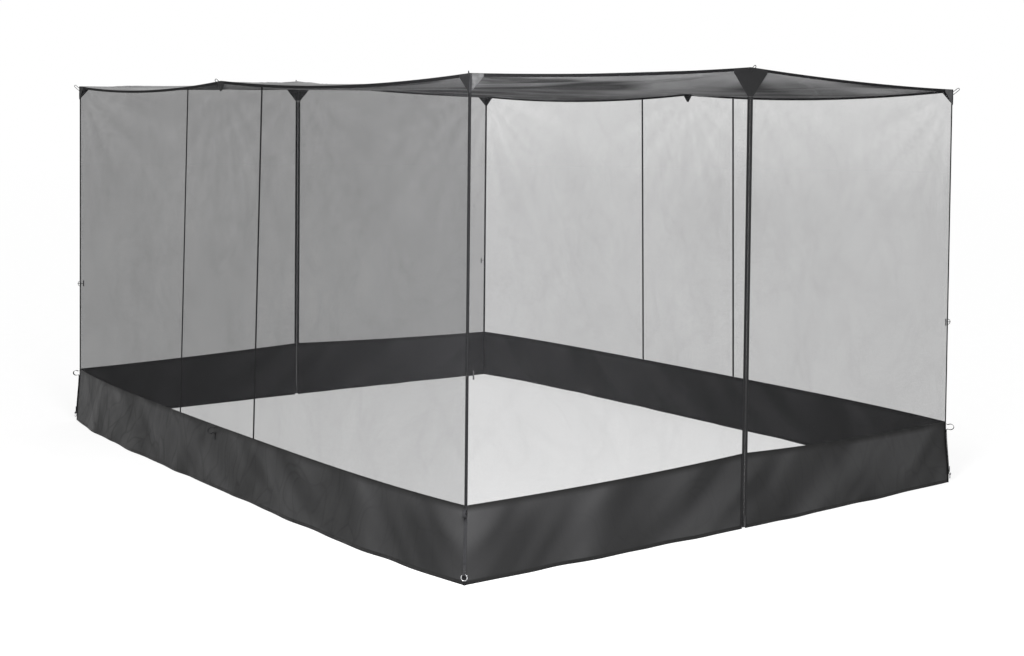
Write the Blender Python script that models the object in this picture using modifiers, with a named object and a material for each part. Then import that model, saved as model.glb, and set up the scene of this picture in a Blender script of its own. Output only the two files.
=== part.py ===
import math

import bmesh
import bpy
from mathutils import Matrix, Vector

# Overall size of the room. Left is -X, the front door faces -Y.
ROOM_WIDTH = 2.70
ROOM_LENGTH = 3.60
WALL_HEIGHT = 1.80
SKIRT_HEIGHT = 0.28

# How the hung cloth departs from a plain box
PEAK_RISE = 0.060
LONG_WALL_BOW = 0.060
LONG_SKIRT_BOW = 0.088
SHORT_WALL_BOW = 0.040
CORNER_FLARE = 0.012
LONG_EDGE_SAG = 0.032
SHORT_EDGE_SAG = 0.012
DOOR_SKIRT_RISE = 0.028
RIDGE_LEFT_share = 0.35
ROOF_BELLY = 0.030
BOW_FLATNESS = 4
SAG_FADE_POWER = 4

# Sheets, tapes and the gap between sewn layers
PANEL_THICKNESS = 0.0005
TAPE_THICKNESS = 0.0008
PATCH_THICKNESS = 0.0008
GAP = 0.0003

# Where the long walls' mesh panels meet, and how finely each sheet is divided
SEAM_shares = (0.4, 0.6)
LONG_WALL_COLUMNS = 20
SHORT_WALL_COLUMNS = 12
SKIRT_COLUMNS_PER_MESH_COLUMN = 2
MESH_ROWS = 3
SKIRT_ROW_shares = (0.0, 0.10, 0.35, 0.68, 1.0)

# Folds of the skirt, largest at the ground
FOLD_DEPTH = 0.004
FOLD_SPACING = 0.52
CREASE_DEPTH = 0.002
CREASE_SPACING = 0.27
FOLD_START = 0.09
FOLD_FADE = 0.20
FOLD_SLANT = 0.20

# Tapes
CORNER_CLEARANCE = 0.0012
CORNER_TAPE_WIDTH = 0.006
SEAM_TAPE_WIDTH = 0.012
ROOF_TAPE_DROP = 0.010
ROOF_TAPE_STAND = 0.002

# Zips: half of the zip lies on each side of its middle
ZIP_TAPE_REACH = 0.0155
ZIP_MIDDLE_GAP = 0.0020
ZIP_BOTTOM = 0.006
COIL_WIDTH = 0.0030
COIL_HEIGHT = 0.0024
DOOR_EDGE = 0.009

# Zip slider and its two pull tabs
SLIDER_HEIGHT_AT_REST = 0.046
SLIDER_LENGTH = 0.016
SLIDER_WIDTH = 0.011
SLIDER_NECK_WIDTH = 0.0096
SLIDER_PLATE = 0.0014
SLIDER_CLEARANCE = 0.0004
SLIDER_FLANGE = 0.0011
SLIDER_POST_WIDTH = 0.0012
SLIDER_POST_LENGTH = 0.005
BAIL_HALF_LENGTH = 0.0045
BAIL_RISE = 0.0040
BAIL_WIRE = 0.0009
PULL_THICKNESS = 0.0016
PULL_STAND = 0.0016
PULL_LENGTH = 0.034
PULL_TOP_WIDTH = 0.0062
PULL_END_WIDTH = 0.0084
PULL_BAR = 0.0008
PULL_HOLE_WIDTH = 0.0034
PULL_HOLE_LENGTH = 0.0050

# Roof ties: patches and cord loops
CORNER_PATCH_REACH = 0.058
CORNER_PATCH_DROP = 0.070
CORNER_PATCH_TIP = 0.010
PEAK_PATCH_WIDTH = 0.190
PEAK_PATCH_DROP = 0.115
PEAK_PATCH_FOOT = 0.031
PEAK_PATCH_TIP = 0.016
SIDE_PATCH_WIDTH = 0.060
SIDE_PATCH_DROP = 0.046
SIDE_PATCH_FOOT = 0.012
PATCH_STAND = 0.001
TIE_CORD = 0.0030
TIE_LOOP_WIDTH = 0.0105
TIE_LOOP_LENGTH = 0.026
TIE_LOOP_DROP = 0.014
TIE_SEAT = 0.0004
TIE_FOOT = 0.0025
TIE_RISE_ANGLE = math.radians(40)

# Toggles that hold the door halves back
TOGGLE_HEIGHT = 0.74
TOGGLE_REACH = 0.030
TOGGLE_BAR_LENGTH = 0.032
TOGGLE_BAR_RADIUS = 0.0032
TOGGLE_WAIST_RADIUS = 0.0025
TOGGLE_STEM_RADIUS = 0.0014
TOGGLE_EYE_RADIUS = 0.0031
TOGGLE_EYE_WIRE = 0.0009
TOGGLE_CORD = 0.0030
TOGGLE_CORD_STAND = 0.0075
TOGGLE_CORD_HALF_HEIGHT = 0.0120

# Webbing straps, loops and peg rings of the skirt
WEBBING_WIDTH = 0.012
WEBBING_THICKNESS = 0.0015
EYE_HEIGHT = 0.040
EYE_RADIUS = 0.0041
STRAP_TAIL = 0.030
LOOP_REACH = 0.034
LOOP_HALF_HEIGHT = 0.0130
LOOP_DROP = 0.024
LOOP_TAIL = 0.030
RING_RADIUS = 0.0110
RING_WIRE = 0.0015
RING_LIFT = 0.0004

# Worked out from the sizes above
HALF_WIDTH = ROOM_WIDTH / 2
HALF_LENGTH = ROOM_LENGTH / 2
TAPE_OFFSET = PANEL_THICKNESS / 2 + GAP + TAPE_THICKNESS / 2
PATCH_OFFSET = TAPE_OFFSET + TAPE_THICKNESS / 2 + GAP + PATCH_THICKNESS / 2
ZIP_TOP = WALL_HEIGHT + PEAK_RISE - PEAK_PATCH_DROP - GAP
ZIP_PLANE = HALF_LENGTH + SHORT_WALL_BOW
TAPE_INNER_FACE = PANEL_THICKNESS / 2 + GAP
TAPE_OUTER_FACE = TAPE_INNER_FACE + TAPE_THICKNESS
COIL_TOP = TAPE_OUTER_FACE + COIL_HEIGHT
WEBBING_OFFSET = GAP + WEBBING_THICKNESS / 2

# Each wall starts at a corner and runs along a direction, with an outward side
LONG_WALL = {
    "length": ROOM_LENGTH, "bow": LONG_WALL_BOW, "sag": LONG_EDGE_SAG, "peak": 0, "skirt_rise": 0,
}
SHORT_WALL = {
    "length": ROOM_WIDTH, "bow": SHORT_WALL_BOW, "sag": SHORT_EDGE_SAG, "peak": PEAK_RISE,
    "skirt_rise": DOOR_SKIRT_RISE,
}
WALLS = {
    "left": {"start": (-1, -1), "along": (0, 1), "out": (-1, 0), **LONG_WALL},
    "right": {"start": (1, -1), "along": (0, 1), "out": (1, 0), **LONG_WALL},
    "front": {"start": (-1, -1), "along": (1, 0), "out": (0, -1), **SHORT_WALL},
    "rear": {"start": (-1, 1), "along": (1, 0), "out": (0, 1), **SHORT_WALL},
}

# Each corner: its signs in X and Y, and the two walls that meet there
CORNERS = {
    "front_left": {"signs": (-1, -1), "walls": ("left", "front")},
    "front_right": {"signs": (1, -1), "walls": ("right", "front")},
    "rear_left": {"signs": (-1, 1), "walls": ("left", "rear")},
    "rear_right": {"signs": (1, 1), "walls": ("right", "rear")},
}


def clear_scene():
    for old in list(bpy.data.objects):
        bpy.data.objects.remove(old, do_unlink=True)


def make_collection(name):
    collection = bpy.data.collections.new(name)
    bpy.context.scene.collection.children.link(collection)
    return collection


def make_material(name, colour, roughness, metallic=0.0, alpha=1.0):
    material = bpy.data.materials.new(name)
    material.use_nodes = True
    shader = material.node_tree.nodes["Principled BSDF"]
    shader.inputs["Base Color"].default_value = (*colour, 1.0)
    shader.inputs["Roughness"].default_value = roughness
    shader.inputs["Metallic"].default_value = metallic
    shader.inputs["Alpha"].default_value = alpha
    material.diffuse_color = (*colour, alpha)
    return material


clear_scene()
TENT = make_collection("mosquito_net_tent")

MESH_CLOTH = make_material("mesh_cloth", (0.035, 0.035, 0.037), 0.85, alpha=0.45)
ROOF_CLOTH = make_material("roof_cloth", (0.075, 0.077, 0.080), 0.55)
SKIRT_CLOTH = make_material("skirt_cloth", (0.040, 0.040, 0.042), 0.60)
TAPE_CLOTH = make_material("tape_cloth", (0.012, 0.012, 0.013), 0.80)
WEBBING = make_material("webbing", (0.008, 0.008, 0.009), 0.75)
ZIP_COIL = make_material("zip_coil", (0.030, 0.030, 0.032), 0.45)
ZIP_METAL = make_material("zip_metal", (0.020, 0.020, 0.022), 0.35, metallic=0.9)
RING_METAL = make_material("ring_metal", (0.62, 0.62, 0.63), 0.25, metallic=1.0)
TOGGLE_PLASTIC = make_material("toggle_plastic", (0.010, 0.010, 0.011), 0.40)


# The wall surface

def tent_curve(share):
    # Straight runs from each end up to the middle
    return 1 - abs(2 * share - 1)


def corner_flare(height):
    # Straight between the skirt's rows, so that every layer follows the same line
    share = max(0, min(height / SKIRT_HEIGHT, 1))
    for low, high in zip(SKIRT_ROW_shares, SKIRT_ROW_shares[1:]):
        if share <= high:
            part = (share - low) / (high - low)
            ends = [(1 + math.cos(math.pi * row)) / 2 for row in (low, high)]
            return CORNER_FLARE * (ends[0] * (1 - part) + ends[1] * part)
    return 0.0


def wall_bow(wall, share, height):
    # A door wall is held straight by its zip. A long wall is drawn to its tie above and hangs fuller below.
    if wall["peak"]:
        return wall["bow"] * math.sin(math.pi * share)
    up = min(height / WALL_HEIGHT, 1)
    full = 1 - (1 - tent_curve(share)) ** BOW_FLATNESS
    return up * wall["bow"] * tent_curve(share) + (1 - up) * LONG_SKIRT_BOW * full


def skirt_top(wall, along):
    return SKIRT_HEIGHT + wall["skirt_rise"] * tent_curve(along / wall["length"]) ** 2


def skirt_fold(wall, along, height):
    if height >= SKIRT_HEIGHT:
        return 0.0
    near = min(abs(along - place) for place in (0, wall["length"] / 2, wall["length"]))
    fade = max(0, min((near - FOLD_START) / FOLD_FADE, 1))
    fade = fade * fade * (3 - 2 * fade)
    drop = 1 - height / SKIRT_HEIGHT
    slant = along + FOLD_SLANT * height / SKIRT_HEIGHT
    folds = FOLD_DEPTH * math.sin(math.tau * slant / FOLD_SPACING)
    creases = CREASE_DEPTH * math.sin(math.tau * slant / CREASE_SPACING + 1)
    return fade * drop * (folds + creases)


def edge_height(wall, along):
    run = tent_curve(along / wall["length"])
    return WALL_HEIGHT + wall["peak"] * run - wall["sag"] * 4 * run * (1 - run)


def wall_point(wall, along, height, offset=0.0):
    share = along / wall["length"]
    flare = corner_flare(height)
    reach = along + flare * (2 * share - 1)
    out = wall_bow(wall, share, height) + flare * (2 * share - 1) ** 2
    out += skirt_fold(wall, along, height) + offset
    x = wall["start"][0] * HALF_WIDTH + wall["along"][0] * reach + wall["out"][0] * out
    y = wall["start"][1] * HALF_LENGTH + wall["along"][1] * reach + wall["out"][1] * out
    return Vector((x, y, height))


def corner_point(corner, height, offset=0.0):
    out = corner_flare(height) + offset
    signs = corner["signs"]
    return Vector((signs[0] * (HALF_WIDTH + out), signs[1] * (HALF_LENGTH + out), height))


def corner_side(corner, wall_name, distance):
    # Distance from this corner, as a place along the wall
    wall = WALLS[wall_name]
    at_start = wall["start"] == corner["signs"]
    return distance if at_start else wall["length"] - distance


def wall_stations(wall, columns, low, high):
    # Even divisions of the whole wall between two places, the two places themselves, and the corner tapes' edges
    step = wall["length"] / columns
    inner = [step * number for number in range(1, columns) if low < step * number < high]
    while inner and inner[0] - low < step / 2:
        inner.pop(0)
    while inner and high - inner[-1] < step / 2:
        inner.pop()
    edges = (CORNER_TAPE_WIDTH, wall["length"] - CORNER_TAPE_WIDTH)
    inner += [edge for edge in edges if low < edge < high]
    return [low, *sorted(inner), high]


# Making solids

def add_object(name, data, material):
    piece = bpy.data.objects.new(name, data)
    data.materials.clear()
    data.materials.append(material)
    TENT.objects.link(piece)
    return piece


def add_sheet(name, columns, rows, place, thickness, material, closed=False):
    # A flat grid whose points are moved to place(column, row), then thickened
    mesh = bpy.data.meshes.new(name)
    grid = bmesh.new()
    bmesh.ops.create_grid(grid, x_segments=columns, y_segments=rows, size=1)
    for point in grid.verts:
        column = round((point.co.x + 1) / 2 * columns)
        row = round((point.co.y + 1) / 2 * rows)
        point.co = place(column, row)
    if closed:
        bmesh.ops.remove_doubles(grid, verts=grid.verts, dist=PANEL_THICKNESS / 10)
    grid.to_mesh(mesh)
    grid.free()
    piece = add_object(name, mesh, material)
    shell = piece.modifiers.new("thickness", "SOLIDIFY")
    shell.thickness = thickness
    shell.offset = 0
    shell.use_even_offset = True
    return piece


def add_ribbon(name, path, side, width, thickness, material):
    # A band that follows a path, with its width along side
    half = side * (width / 2)

    def place(column, row):
        return path[column] + half * (2 * row - 1)

    return add_sheet(name, len(path) - 1, 1, place, thickness, material)


def add_tube(name, path, radius, material, resolution=1, closed=False):
    curve = bpy.data.curves.new(name, "CURVE")
    curve.dimensions = "3D"
    curve.bevel_depth = radius
    curve.bevel_resolution = resolution
    curve.use_fill_caps = not closed
    spline = curve.splines.new("POLY")
    spline.points.add(len(path) - 1)
    for point, place in zip(spline.points, path):
        point.co = (*place, 1)
    spline.use_cyclic_u = closed
    return add_object(name, curve, material)


def add_outline(name, outlines, depth, material):
    # A flat plate in the XZ plane, as deep as depth along Y; the first outline is its edge
    curve = bpy.data.curves.new(name, "CURVE")
    curve.dimensions = "2D"
    curve.fill_mode = "BOTH"
    curve.extrude = depth / 2
    for outline in outlines:
        spline = curve.splines.new("POLY")
        spline.points.add(len(outline) - 1)
        for point, place in zip(spline.points, outline):
            point.co = (place[0], place[1], 0, 1)
        spline.use_cyclic_u = True
    piece = add_object(name, curve, material)
    piece.rotation_euler = (math.pi / 2, 0, 0)
    return piece


def as_mesh(piece):
    # The evaluated piece as one closed mesh in world space
    bpy.context.view_layer.update()
    seen = piece.evaluated_get(bpy.context.evaluated_depsgraph_get())
    mesh = bpy.data.meshes.new_from_object(seen)
    mesh.transform(piece.matrix_world)
    welded = bmesh.new()
    welded.from_mesh(mesh)
    bmesh.ops.remove_doubles(welded, verts=welded.verts, dist=GAP / 100)
    bmesh.ops.recalc_face_normals(welded, faces=welded.faces)
    welded.to_mesh(mesh)
    welded.free()
    solid = bpy.data.objects.new(piece.name, mesh)
    TENT.objects.link(solid)
    bpy.data.objects.remove(piece, do_unlink=True)
    return solid


def fuse(name, pieces, material, pivot=None):
    # Joins solids into one body with its origin on the pivot
    solids = [as_mesh(piece) for piece in pieces]
    base = solids[0]
    for number, other in enumerate(solids[1:]):
        joint = base.modifiers.new(f"join_{number}", "BOOLEAN")
        joint.operation = "UNION"
        joint.object = other
    joined = as_mesh(base)
    for other in solids[1:]:
        bpy.data.objects.remove(other, do_unlink=True)
    joined.name = name
    joined.data.materials.clear()
    joined.data.materials.append(material)
    for face in joined.data.polygons:
        face.material_index = 0
    if pivot is not None:
        joined.data.transform(Matrix.Translation(-pivot))
        joined.location = pivot
    return joined


# Roof

def roof_point(across, down, offset):
    # across and down run from -1 to 1 over the roof
    bow = LONG_WALL_BOW * (1 - abs(down))
    bulge = SHORT_WALL_BOW * math.cos(math.pi * across / 2)
    x = across * (HALF_WIDTH + offset + bow)
    y = down * (HALF_LENGTH + offset + bulge)
    ridge = PEAK_RISE * (1 - abs(across)) - SHORT_EDGE_SAG * 4 * abs(across) * (1 - abs(across))
    hang = -LONG_EDGE_SAG * 4 * abs(down) * (1 - abs(down))
    ridge *= RIDGE_LEFT_share + (1 - RIDGE_LEFT_share) * down ** 2
    belly = -ROOF_BELLY * (1 - across ** 2) * (1 - down ** 2)
    return Vector((x, y, WALL_HEIGHT + ridge + hang * abs(across) ** SAG_FADE_POWER + belly))


def make_roof():
    def place(column, row):
        across = 2 * column / SHORT_WALL_COLUMNS - 1
        down = 2 * row / LONG_WALL_COLUMNS - 1
        return roof_point(across, down, PANEL_THICKNESS / 2)

    add_sheet("roof_panel", SHORT_WALL_COLUMNS, LONG_WALL_COLUMNS, place, PANEL_THICKNESS, ROOF_CLOTH)


def make_roof_binding():
    # A band round the roof's edge, at every station of the four walls in turn
    stations = []
    for wall_name, start, forward in (
        ("front", "front_left", True),
        ("right", "front_right", True),
        ("rear", "rear_right", False),
        ("left", "rear_left", False),
    ):
        wall = WALLS[wall_name]
        count = SHORT_WALL_COLUMNS if wall["out"][1] else LONG_WALL_COLUMNS
        stations.append((CORNERS[start], None))
        for number in range(1, count):
            share = number / count if forward else 1 - number / count
            stations.append((wall, share * wall["length"]))

    def place(column, row):
        carrier, along = stations[column % len(stations)]
        height = edge_height(carrier, along) if along is not None else WALL_HEIGHT
        level = height + (ROOF_TAPE_STAND if row else -ROOF_TAPE_DROP)
        if along is None:
            return corner_point(carrier, level, TAPE_OFFSET)
        return wall_point(carrier, along, level, TAPE_OFFSET)

    add_sheet("roof_binding", len(stations), 1, place, TAPE_THICKNESS, TAPE_CLOTH, closed=True)


# Walls

def make_mesh_panel(name, wall, low, high, columns):
    stations = wall_stations(wall, columns, low, high)

    def place(column, row):
        along = stations[column]
        foot = skirt_top(wall, along) + GAP / 2
        top = edge_height(wall, along) - PANEL_THICKNESS / 2 - GAP
        return wall_point(wall, along, foot + (top - foot) * row / MESH_ROWS)

    add_sheet(name, len(stations) - 1, MESH_ROWS, place, PANEL_THICKNESS, MESH_CLOTH)


def make_skirt(name, wall, low, high, columns):
    stations = wall_stations(wall, columns * SKIRT_COLUMNS_PER_MESH_COLUMN, low, high)
    rows = len(SKIRT_ROW_shares) - 1

    def place(column, row):
        along = stations[column]
        height = SKIRT_ROW_shares[row] * skirt_top(wall, along)
        if row == rows:
            height -= GAP / 2
        return wall_point(wall, along, height)

    add_sheet(name, len(stations) - 1, rows, place, PANEL_THICKNESS, SKIRT_CLOTH)


def make_seam_tape(name, wall, along):
    foot = SKIRT_HEIGHT + GAP / 2
    half = SEAM_TAPE_WIDTH / 2

    def place(column, row):
        at = along + half * (column - 1)
        top = edge_height(wall, at) - ROOF_TAPE_DROP - GAP
        return wall_point(wall, at, foot + (top - foot) * row / MESH_ROWS, TAPE_OFFSET)

    add_sheet(name, 2, MESH_ROWS, place, TAPE_THICKNESS, TAPE_CLOTH)


def make_long_wall(side):
    wall = WALLS[side]
    length = wall["length"]
    seams = [share * length for share in SEAM_shares]
    edges = (
        ("front", CORNER_CLEARANCE, seams[0] - GAP / 2),
        ("middle", seams[0] + GAP / 2, seams[1] - GAP / 2),
        ("rear", seams[1] + GAP / 2, length - CORNER_CLEARANCE),
    )
    for place, low, high in edges:
        make_mesh_panel(f"{side}_mesh_{place}", wall, low, high, LONG_WALL_COLUMNS)
    for place, seam in zip(("front", "rear"), seams):
        make_seam_tape(f"{side}_seam_tape_{place}", wall, seam)
    make_skirt(f"{side}_skirt", wall, CORNER_CLEARANCE, length - CORNER_CLEARANCE, LONG_WALL_COLUMNS)


def make_door_wall(end):
    wall = WALLS[end]
    middle = wall["length"] / 2
    halves = (
        ("left", CORNER_CLEARANCE, middle - DOOR_EDGE),
        ("right", middle + DOOR_EDGE, wall["length"] - CORNER_CLEARANCE),
    )
    for side, low, high in halves:
        make_mesh_panel(f"{end}_door_mesh_{side}", wall, low, high, SHORT_WALL_COLUMNS)
        make_skirt(f"{end}_skirt_{side}", wall, low, high, SHORT_WALL_COLUMNS)


# Corners

def diagonal(corner):
    return Vector((*corner["signs"], 0)).normalized()


def fold_column(corner, column, reach, height_of, offset):
    # Column 0 is on the first wall, 2 on the second, and 1 on the corner itself
    if column == 1:
        return corner_point(corner, height_of(None, 0), offset)
    wall_name = corner["walls"][column // 2]
    along = corner_side(corner, wall_name, reach)
    wall = WALLS[wall_name]
    return wall_point(wall, along, height_of(wall, along), offset)


def make_corner_binding(name, corner):
    top = WALL_HEIGHT - ROOF_TAPE_DROP - GAP
    levels = [share * SKIRT_HEIGHT for share in SKIRT_ROW_shares]
    levels.append((SKIRT_HEIGHT + top) / 2)

    def place(column, row):
        def height_of(wall, along):
            if row < len(levels):
                return levels[row]
            edge = edge_height(wall, along) if wall else WALL_HEIGHT
            return edge - ROOF_TAPE_DROP - GAP

        return fold_column(corner, column, CORNER_TAPE_WIDTH, height_of, TAPE_OFFSET)

    tape = add_sheet("tape", 2, len(levels), place, TAPE_THICKNESS, TAPE_CLOTH)
    out = diagonal(corner)
    edge = corner_point(corner, TOGGLE_HEIGHT, TAPE_OFFSET + TAPE_THICKNESS / 2)
    seat = edge - out * (TAPE_THICKNESS / 2)
    turns = (0.0, 0.12, 0.5, 0.88, 1.0)
    stands = (0.0, 0.75, 1.0, 0.75, 0.0)
    stand = TOGGLE_CORD_STAND + TAPE_THICKNESS / 2
    path = []
    for turn, share in zip(turns, stands):
        rise = TOGGLE_CORD_HALF_HEIGHT * (2 * turn - 1)
        path.append(seat + out * (stand * share) + Vector((0, 0, rise)))
    path.insert(2, path[2] + Vector((0, 0, -TOGGLE_CORD_HALF_HEIGHT / 2)))
    path.insert(4, path[3] + Vector((0, 0, TOGGLE_CORD_HALF_HEIGHT / 2)))
    cord = add_tube("cord", path, TOGGLE_CORD / 2, TAPE_CLOTH)
    fuse(name, [tape, cord], TAPE_CLOTH)


def loop_path(seat, out):
    # A tie loop: two feet square to the seat, two leaning strands and a round end
    up = Vector((0, 0, 1))
    along = out * math.cos(TIE_RISE_ANGLE) + up * math.sin(TIE_RISE_ANGLE)
    across = up * math.cos(TIE_RISE_ANGLE) - out * math.sin(TIE_RISE_ANGLE)
    half = TIE_LOOP_WIDTH / 2
    foot = up * (half / math.cos(TIE_RISE_ANGLE))
    bend = seat + out * TIE_FOOT
    path = [seat + foot, bend + foot]
    steps = 6
    for number in range(steps + 1):
        turn = math.pi * number / steps
        path.append(bend + along * (TIE_LOOP_LENGTH + half * math.sin(turn)) + across * (half * math.cos(turn)))
    path += [bend - foot, seat - foot]
    return path


def make_corner_tie(name, corner):
    def top_of(wall, along):
        return (edge_height(wall, along) if wall else WALL_HEIGHT) + PATCH_STAND

    def place(column, row):
        # The patch hangs straight down from the roof's edge
        spot = fold_column(corner, column, CORNER_PATCH_REACH, top_of, PATCH_OFFSET)
        if not row:
            spot.z -= CORNER_PATCH_DROP if column == 1 else CORNER_PATCH_TIP
        return spot

    patch = add_sheet("patch", 2, 1, place, PATCH_THICKNESS, WEBBING)
    patch.modifiers["thickness"].solidify_mode = "NON_MANIFOLD"
    patch.modifiers["thickness"].nonmanifold_thickness_mode = "CONSTRAINTS"
    out = diagonal(corner)
    edge = corner_point(corner, WALL_HEIGHT - TIE_LOOP_DROP, PATCH_OFFSET + PATCH_THICKNESS / 2)
    path = loop_path(edge - out * TIE_SEAT, out)
    loop = add_tube("loop", path, TIE_CORD / 2, WEBBING)
    fuse(name, [patch, loop], WEBBING)


def make_middle_tie(name, wall, width, drop, foot, tip):
    middle = wall["length"] / 2
    spans = (-width / 2, -foot / 2, foot / 2, width / 2)
    drops = (tip, drop, drop, tip)
    peak = edge_height(wall, middle) + PATCH_STAND

    def place(column, row):
        along = middle + spans[column]
        top = edge_height(wall, along) + PATCH_STAND
        level = top if row else (peak - drop if drops[column] == drop else top - tip)
        return wall_point(wall, along, level, PATCH_OFFSET)

    patch = add_sheet("patch", 3, 1, place, PATCH_THICKNESS, WEBBING)
    out = Vector((*wall["out"], 0))
    face = wall_point(wall, middle, peak - TIE_LOOP_DROP, PATCH_OFFSET + PATCH_THICKNESS / 2)
    path = loop_path(face - out * TIE_SEAT, out)
    loop = add_tube("loop", path, TIE_CORD / 2, WEBBING)
    fuse(name, [patch, loop], WEBBING)


# Webbing and rings of the skirt

def arc_points(centre, radii, start, end, steps):
    points = []
    for number in range(steps + 1):
        turn = start + (end - start) * number / steps
        points.append((centre[0] + radii[0] * math.cos(turn), centre[1] + radii[1] * math.sin(turn)))
    return points


def strap_line(height):
    # Distance out of the strap's middle from the point where both walls' sheets would meet
    edge = corner_flare(height) + TAPE_OFFSET + TAPE_THICKNESS / 2
    return math.sqrt(2) * edge + WEBBING_OFFSET


def loop_profile(line_of):
    # The open loop at the top of the skirt: out of the line below, and back to it above
    middle = SKIRT_HEIGHT - LOOP_DROP
    inner = line_of(middle)
    centre = (inner + LOOP_REACH / 2, middle)
    radii = (LOOP_REACH / 2 - WEBBING_THICKNESS / 2, LOOP_HALF_HEIGHT)
    low = middle - LOOP_HALF_HEIGHT
    high = middle + LOOP_HALF_HEIGHT
    turn_in = math.radians(130)
    bend = arc_points(centre, radii, -turn_in, turn_in, 10)
    return [(line_of(low), low), *bend, (line_of(high), high)]


def make_corner_strap(name, corner):
    out = diagonal(corner)
    side = Vector((-out.y, out.x, 0))
    line = strap_line(EYE_HEIGHT)
    eye = (line + EYE_RADIUS, EYE_HEIGHT)
    tail_line = line + WEBBING_THICKNESS + GAP
    profile = [
        (tail_line, EYE_HEIGHT + EYE_RADIUS + STRAP_TAIL),
        (tail_line, EYE_HEIGHT + EYE_RADIUS * 2.4),
    ]
    profile += arc_points(eye, (EYE_RADIUS, EYE_RADIUS), math.radians(50), -math.pi, 9)
    for share in SKIRT_ROW_shares[2:4]:
        height = share * SKIRT_HEIGHT
        profile.append((strap_line(height), height))
    profile += loop_profile(strap_line)
    base = Vector((corner["signs"][0] * HALF_WIDTH, corner["signs"][1] * HALF_LENGTH, 0))
    path = [base + out * reach + Vector((0, 0, height)) for reach, height in profile]
    add_ribbon(name, path, side, WEBBING_WIDTH, WEBBING_THICKNESS, WEBBING)


def make_side_loop(name, wall):
    middle = wall["length"] / 2
    out = Vector((*wall["out"], 0))
    side = Vector((*wall["along"], 0))

    def line_of(height):
        return PANEL_THICKNESS / 2 + WEBBING_OFFSET

    profile = loop_profile(line_of)
    profile.insert(0, (profile[0][0], profile[0][1] - LOOP_TAIL))
    path = []
    for reach, height in profile:
        path.append(wall_point(wall, middle, height) + out * reach)
    add_ribbon(name, path, side, WEBBING_WIDTH, WEBBING_THICKNESS, WEBBING)


def make_ring(name, corner):
    out = diagonal(corner)
    base = Vector((corner["signs"][0] * HALF_WIDTH, corner["signs"][1] * HALF_LENGTH, 0))
    pivot = base + out * (strap_line(EYE_HEIGHT) + EYE_RADIUS) + Vector((0, 0, EYE_HEIGHT))
    bpy.ops.mesh.primitive_torus_add(
        major_segments=20, minor_segments=6, major_radius=RING_RADIUS, minor_radius=RING_WIRE
    )
    made = bpy.context.active_object
    mesh = made.data
    bpy.data.objects.remove(made, do_unlink=True)
    mesh.transform(Matrix.Rotation(math.pi / 2, 4, "Y"))
    mesh.transform(Matrix.Translation((0, 0, RING_LIFT - RING_RADIUS)))
    mesh.shade_smooth()
    ring = add_object(name, mesh, RING_METAL)
    ring.location = pivot
    ring.rotation_euler = (0, 0, math.atan2(out.y, out.x))


def make_toggle(name, corner):
    # Built with its cord eye at the origin, its stem along +X and its bar upright
    profile = (
        (0, TOGGLE_BAR_LENGTH / 2),
        (TOGGLE_BAR_RADIUS * 0.7, TOGGLE_BAR_LENGTH / 2 - TOGGLE_BAR_RADIUS * 0.25),
        (TOGGLE_BAR_RADIUS, TOGGLE_BAR_LENGTH / 2 - TOGGLE_BAR_RADIUS),
        (TOGGLE_WAIST_RADIUS, 0),
        (TOGGLE_BAR_RADIUS, TOGGLE_BAR_RADIUS - TOGGLE_BAR_LENGTH / 2),
        (TOGGLE_BAR_RADIUS * 0.7, TOGGLE_BAR_RADIUS * 0.25 - TOGGLE_BAR_LENGTH / 2),
        (0, -TOGGLE_BAR_LENGTH / 2),
    )
    mesh = bpy.data.meshes.new("bar")
    points = [(radius, 0, height) for radius, height in profile]
    mesh.from_pydata(points, [(number, number + 1) for number in range(len(points) - 1)], [])
    bar = add_object("bar", mesh, TOGGLE_PLASTIC)
    turned = bar.modifiers.new("turned", "SCREW")
    turned.steps = 10
    turned.render_steps = 10
    turned.use_merge_vertices = True
    turned.merge_threshold = GAP / 10
    bar.location = (TOGGLE_REACH, 0, 0)
    reach = TOGGLE_REACH - TOGGLE_WAIST_RADIUS / 2
    stem = add_tube("stem", [(TOGGLE_EYE_RADIUS, 0, 0), (reach, 0, 0)], TOGGLE_STEM_RADIUS, TOGGLE_PLASTIC)
    bpy.ops.mesh.primitive_torus_add(
        major_segments=12, minor_segments=6, major_radius=TOGGLE_EYE_RADIUS, minor_radius=TOGGLE_EYE_WIRE
    )
    made = bpy.context.active_object
    eye = add_object("eye", made.data, TOGGLE_PLASTIC)
    bpy.data.objects.remove(made, do_unlink=True)
    toggle = fuse(name, [bar, stem, eye], TOGGLE_PLASTIC)
    toggle.data.shade_smooth()
    toggle.data.set_sharp_from_angle(angle=math.radians(40))
    edge = corner_point(corner, TOGGLE_HEIGHT, TAPE_OFFSET + TAPE_THICKNESS / 2)
    toggle.location = edge + diagonal(corner) * TOGGLE_CORD_STAND
    toggle.rotation_euler = (0, 0, 0 if corner["signs"][0] < 0 else math.pi)


# Zips. Each is made for the front, facing -Y, and the rear one is turned half round

def zip_place(piece, end, height):
    sign = -1 if end == "front" else 1
    piece.matrix_world = (
        Matrix.Translation((0, sign * ZIP_PLANE, height))
        @ Matrix.Rotation(0 if end == "front" else math.pi, 4, "Z")
        @ piece.matrix_world
    )
    bpy.context.view_layer.update()


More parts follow.
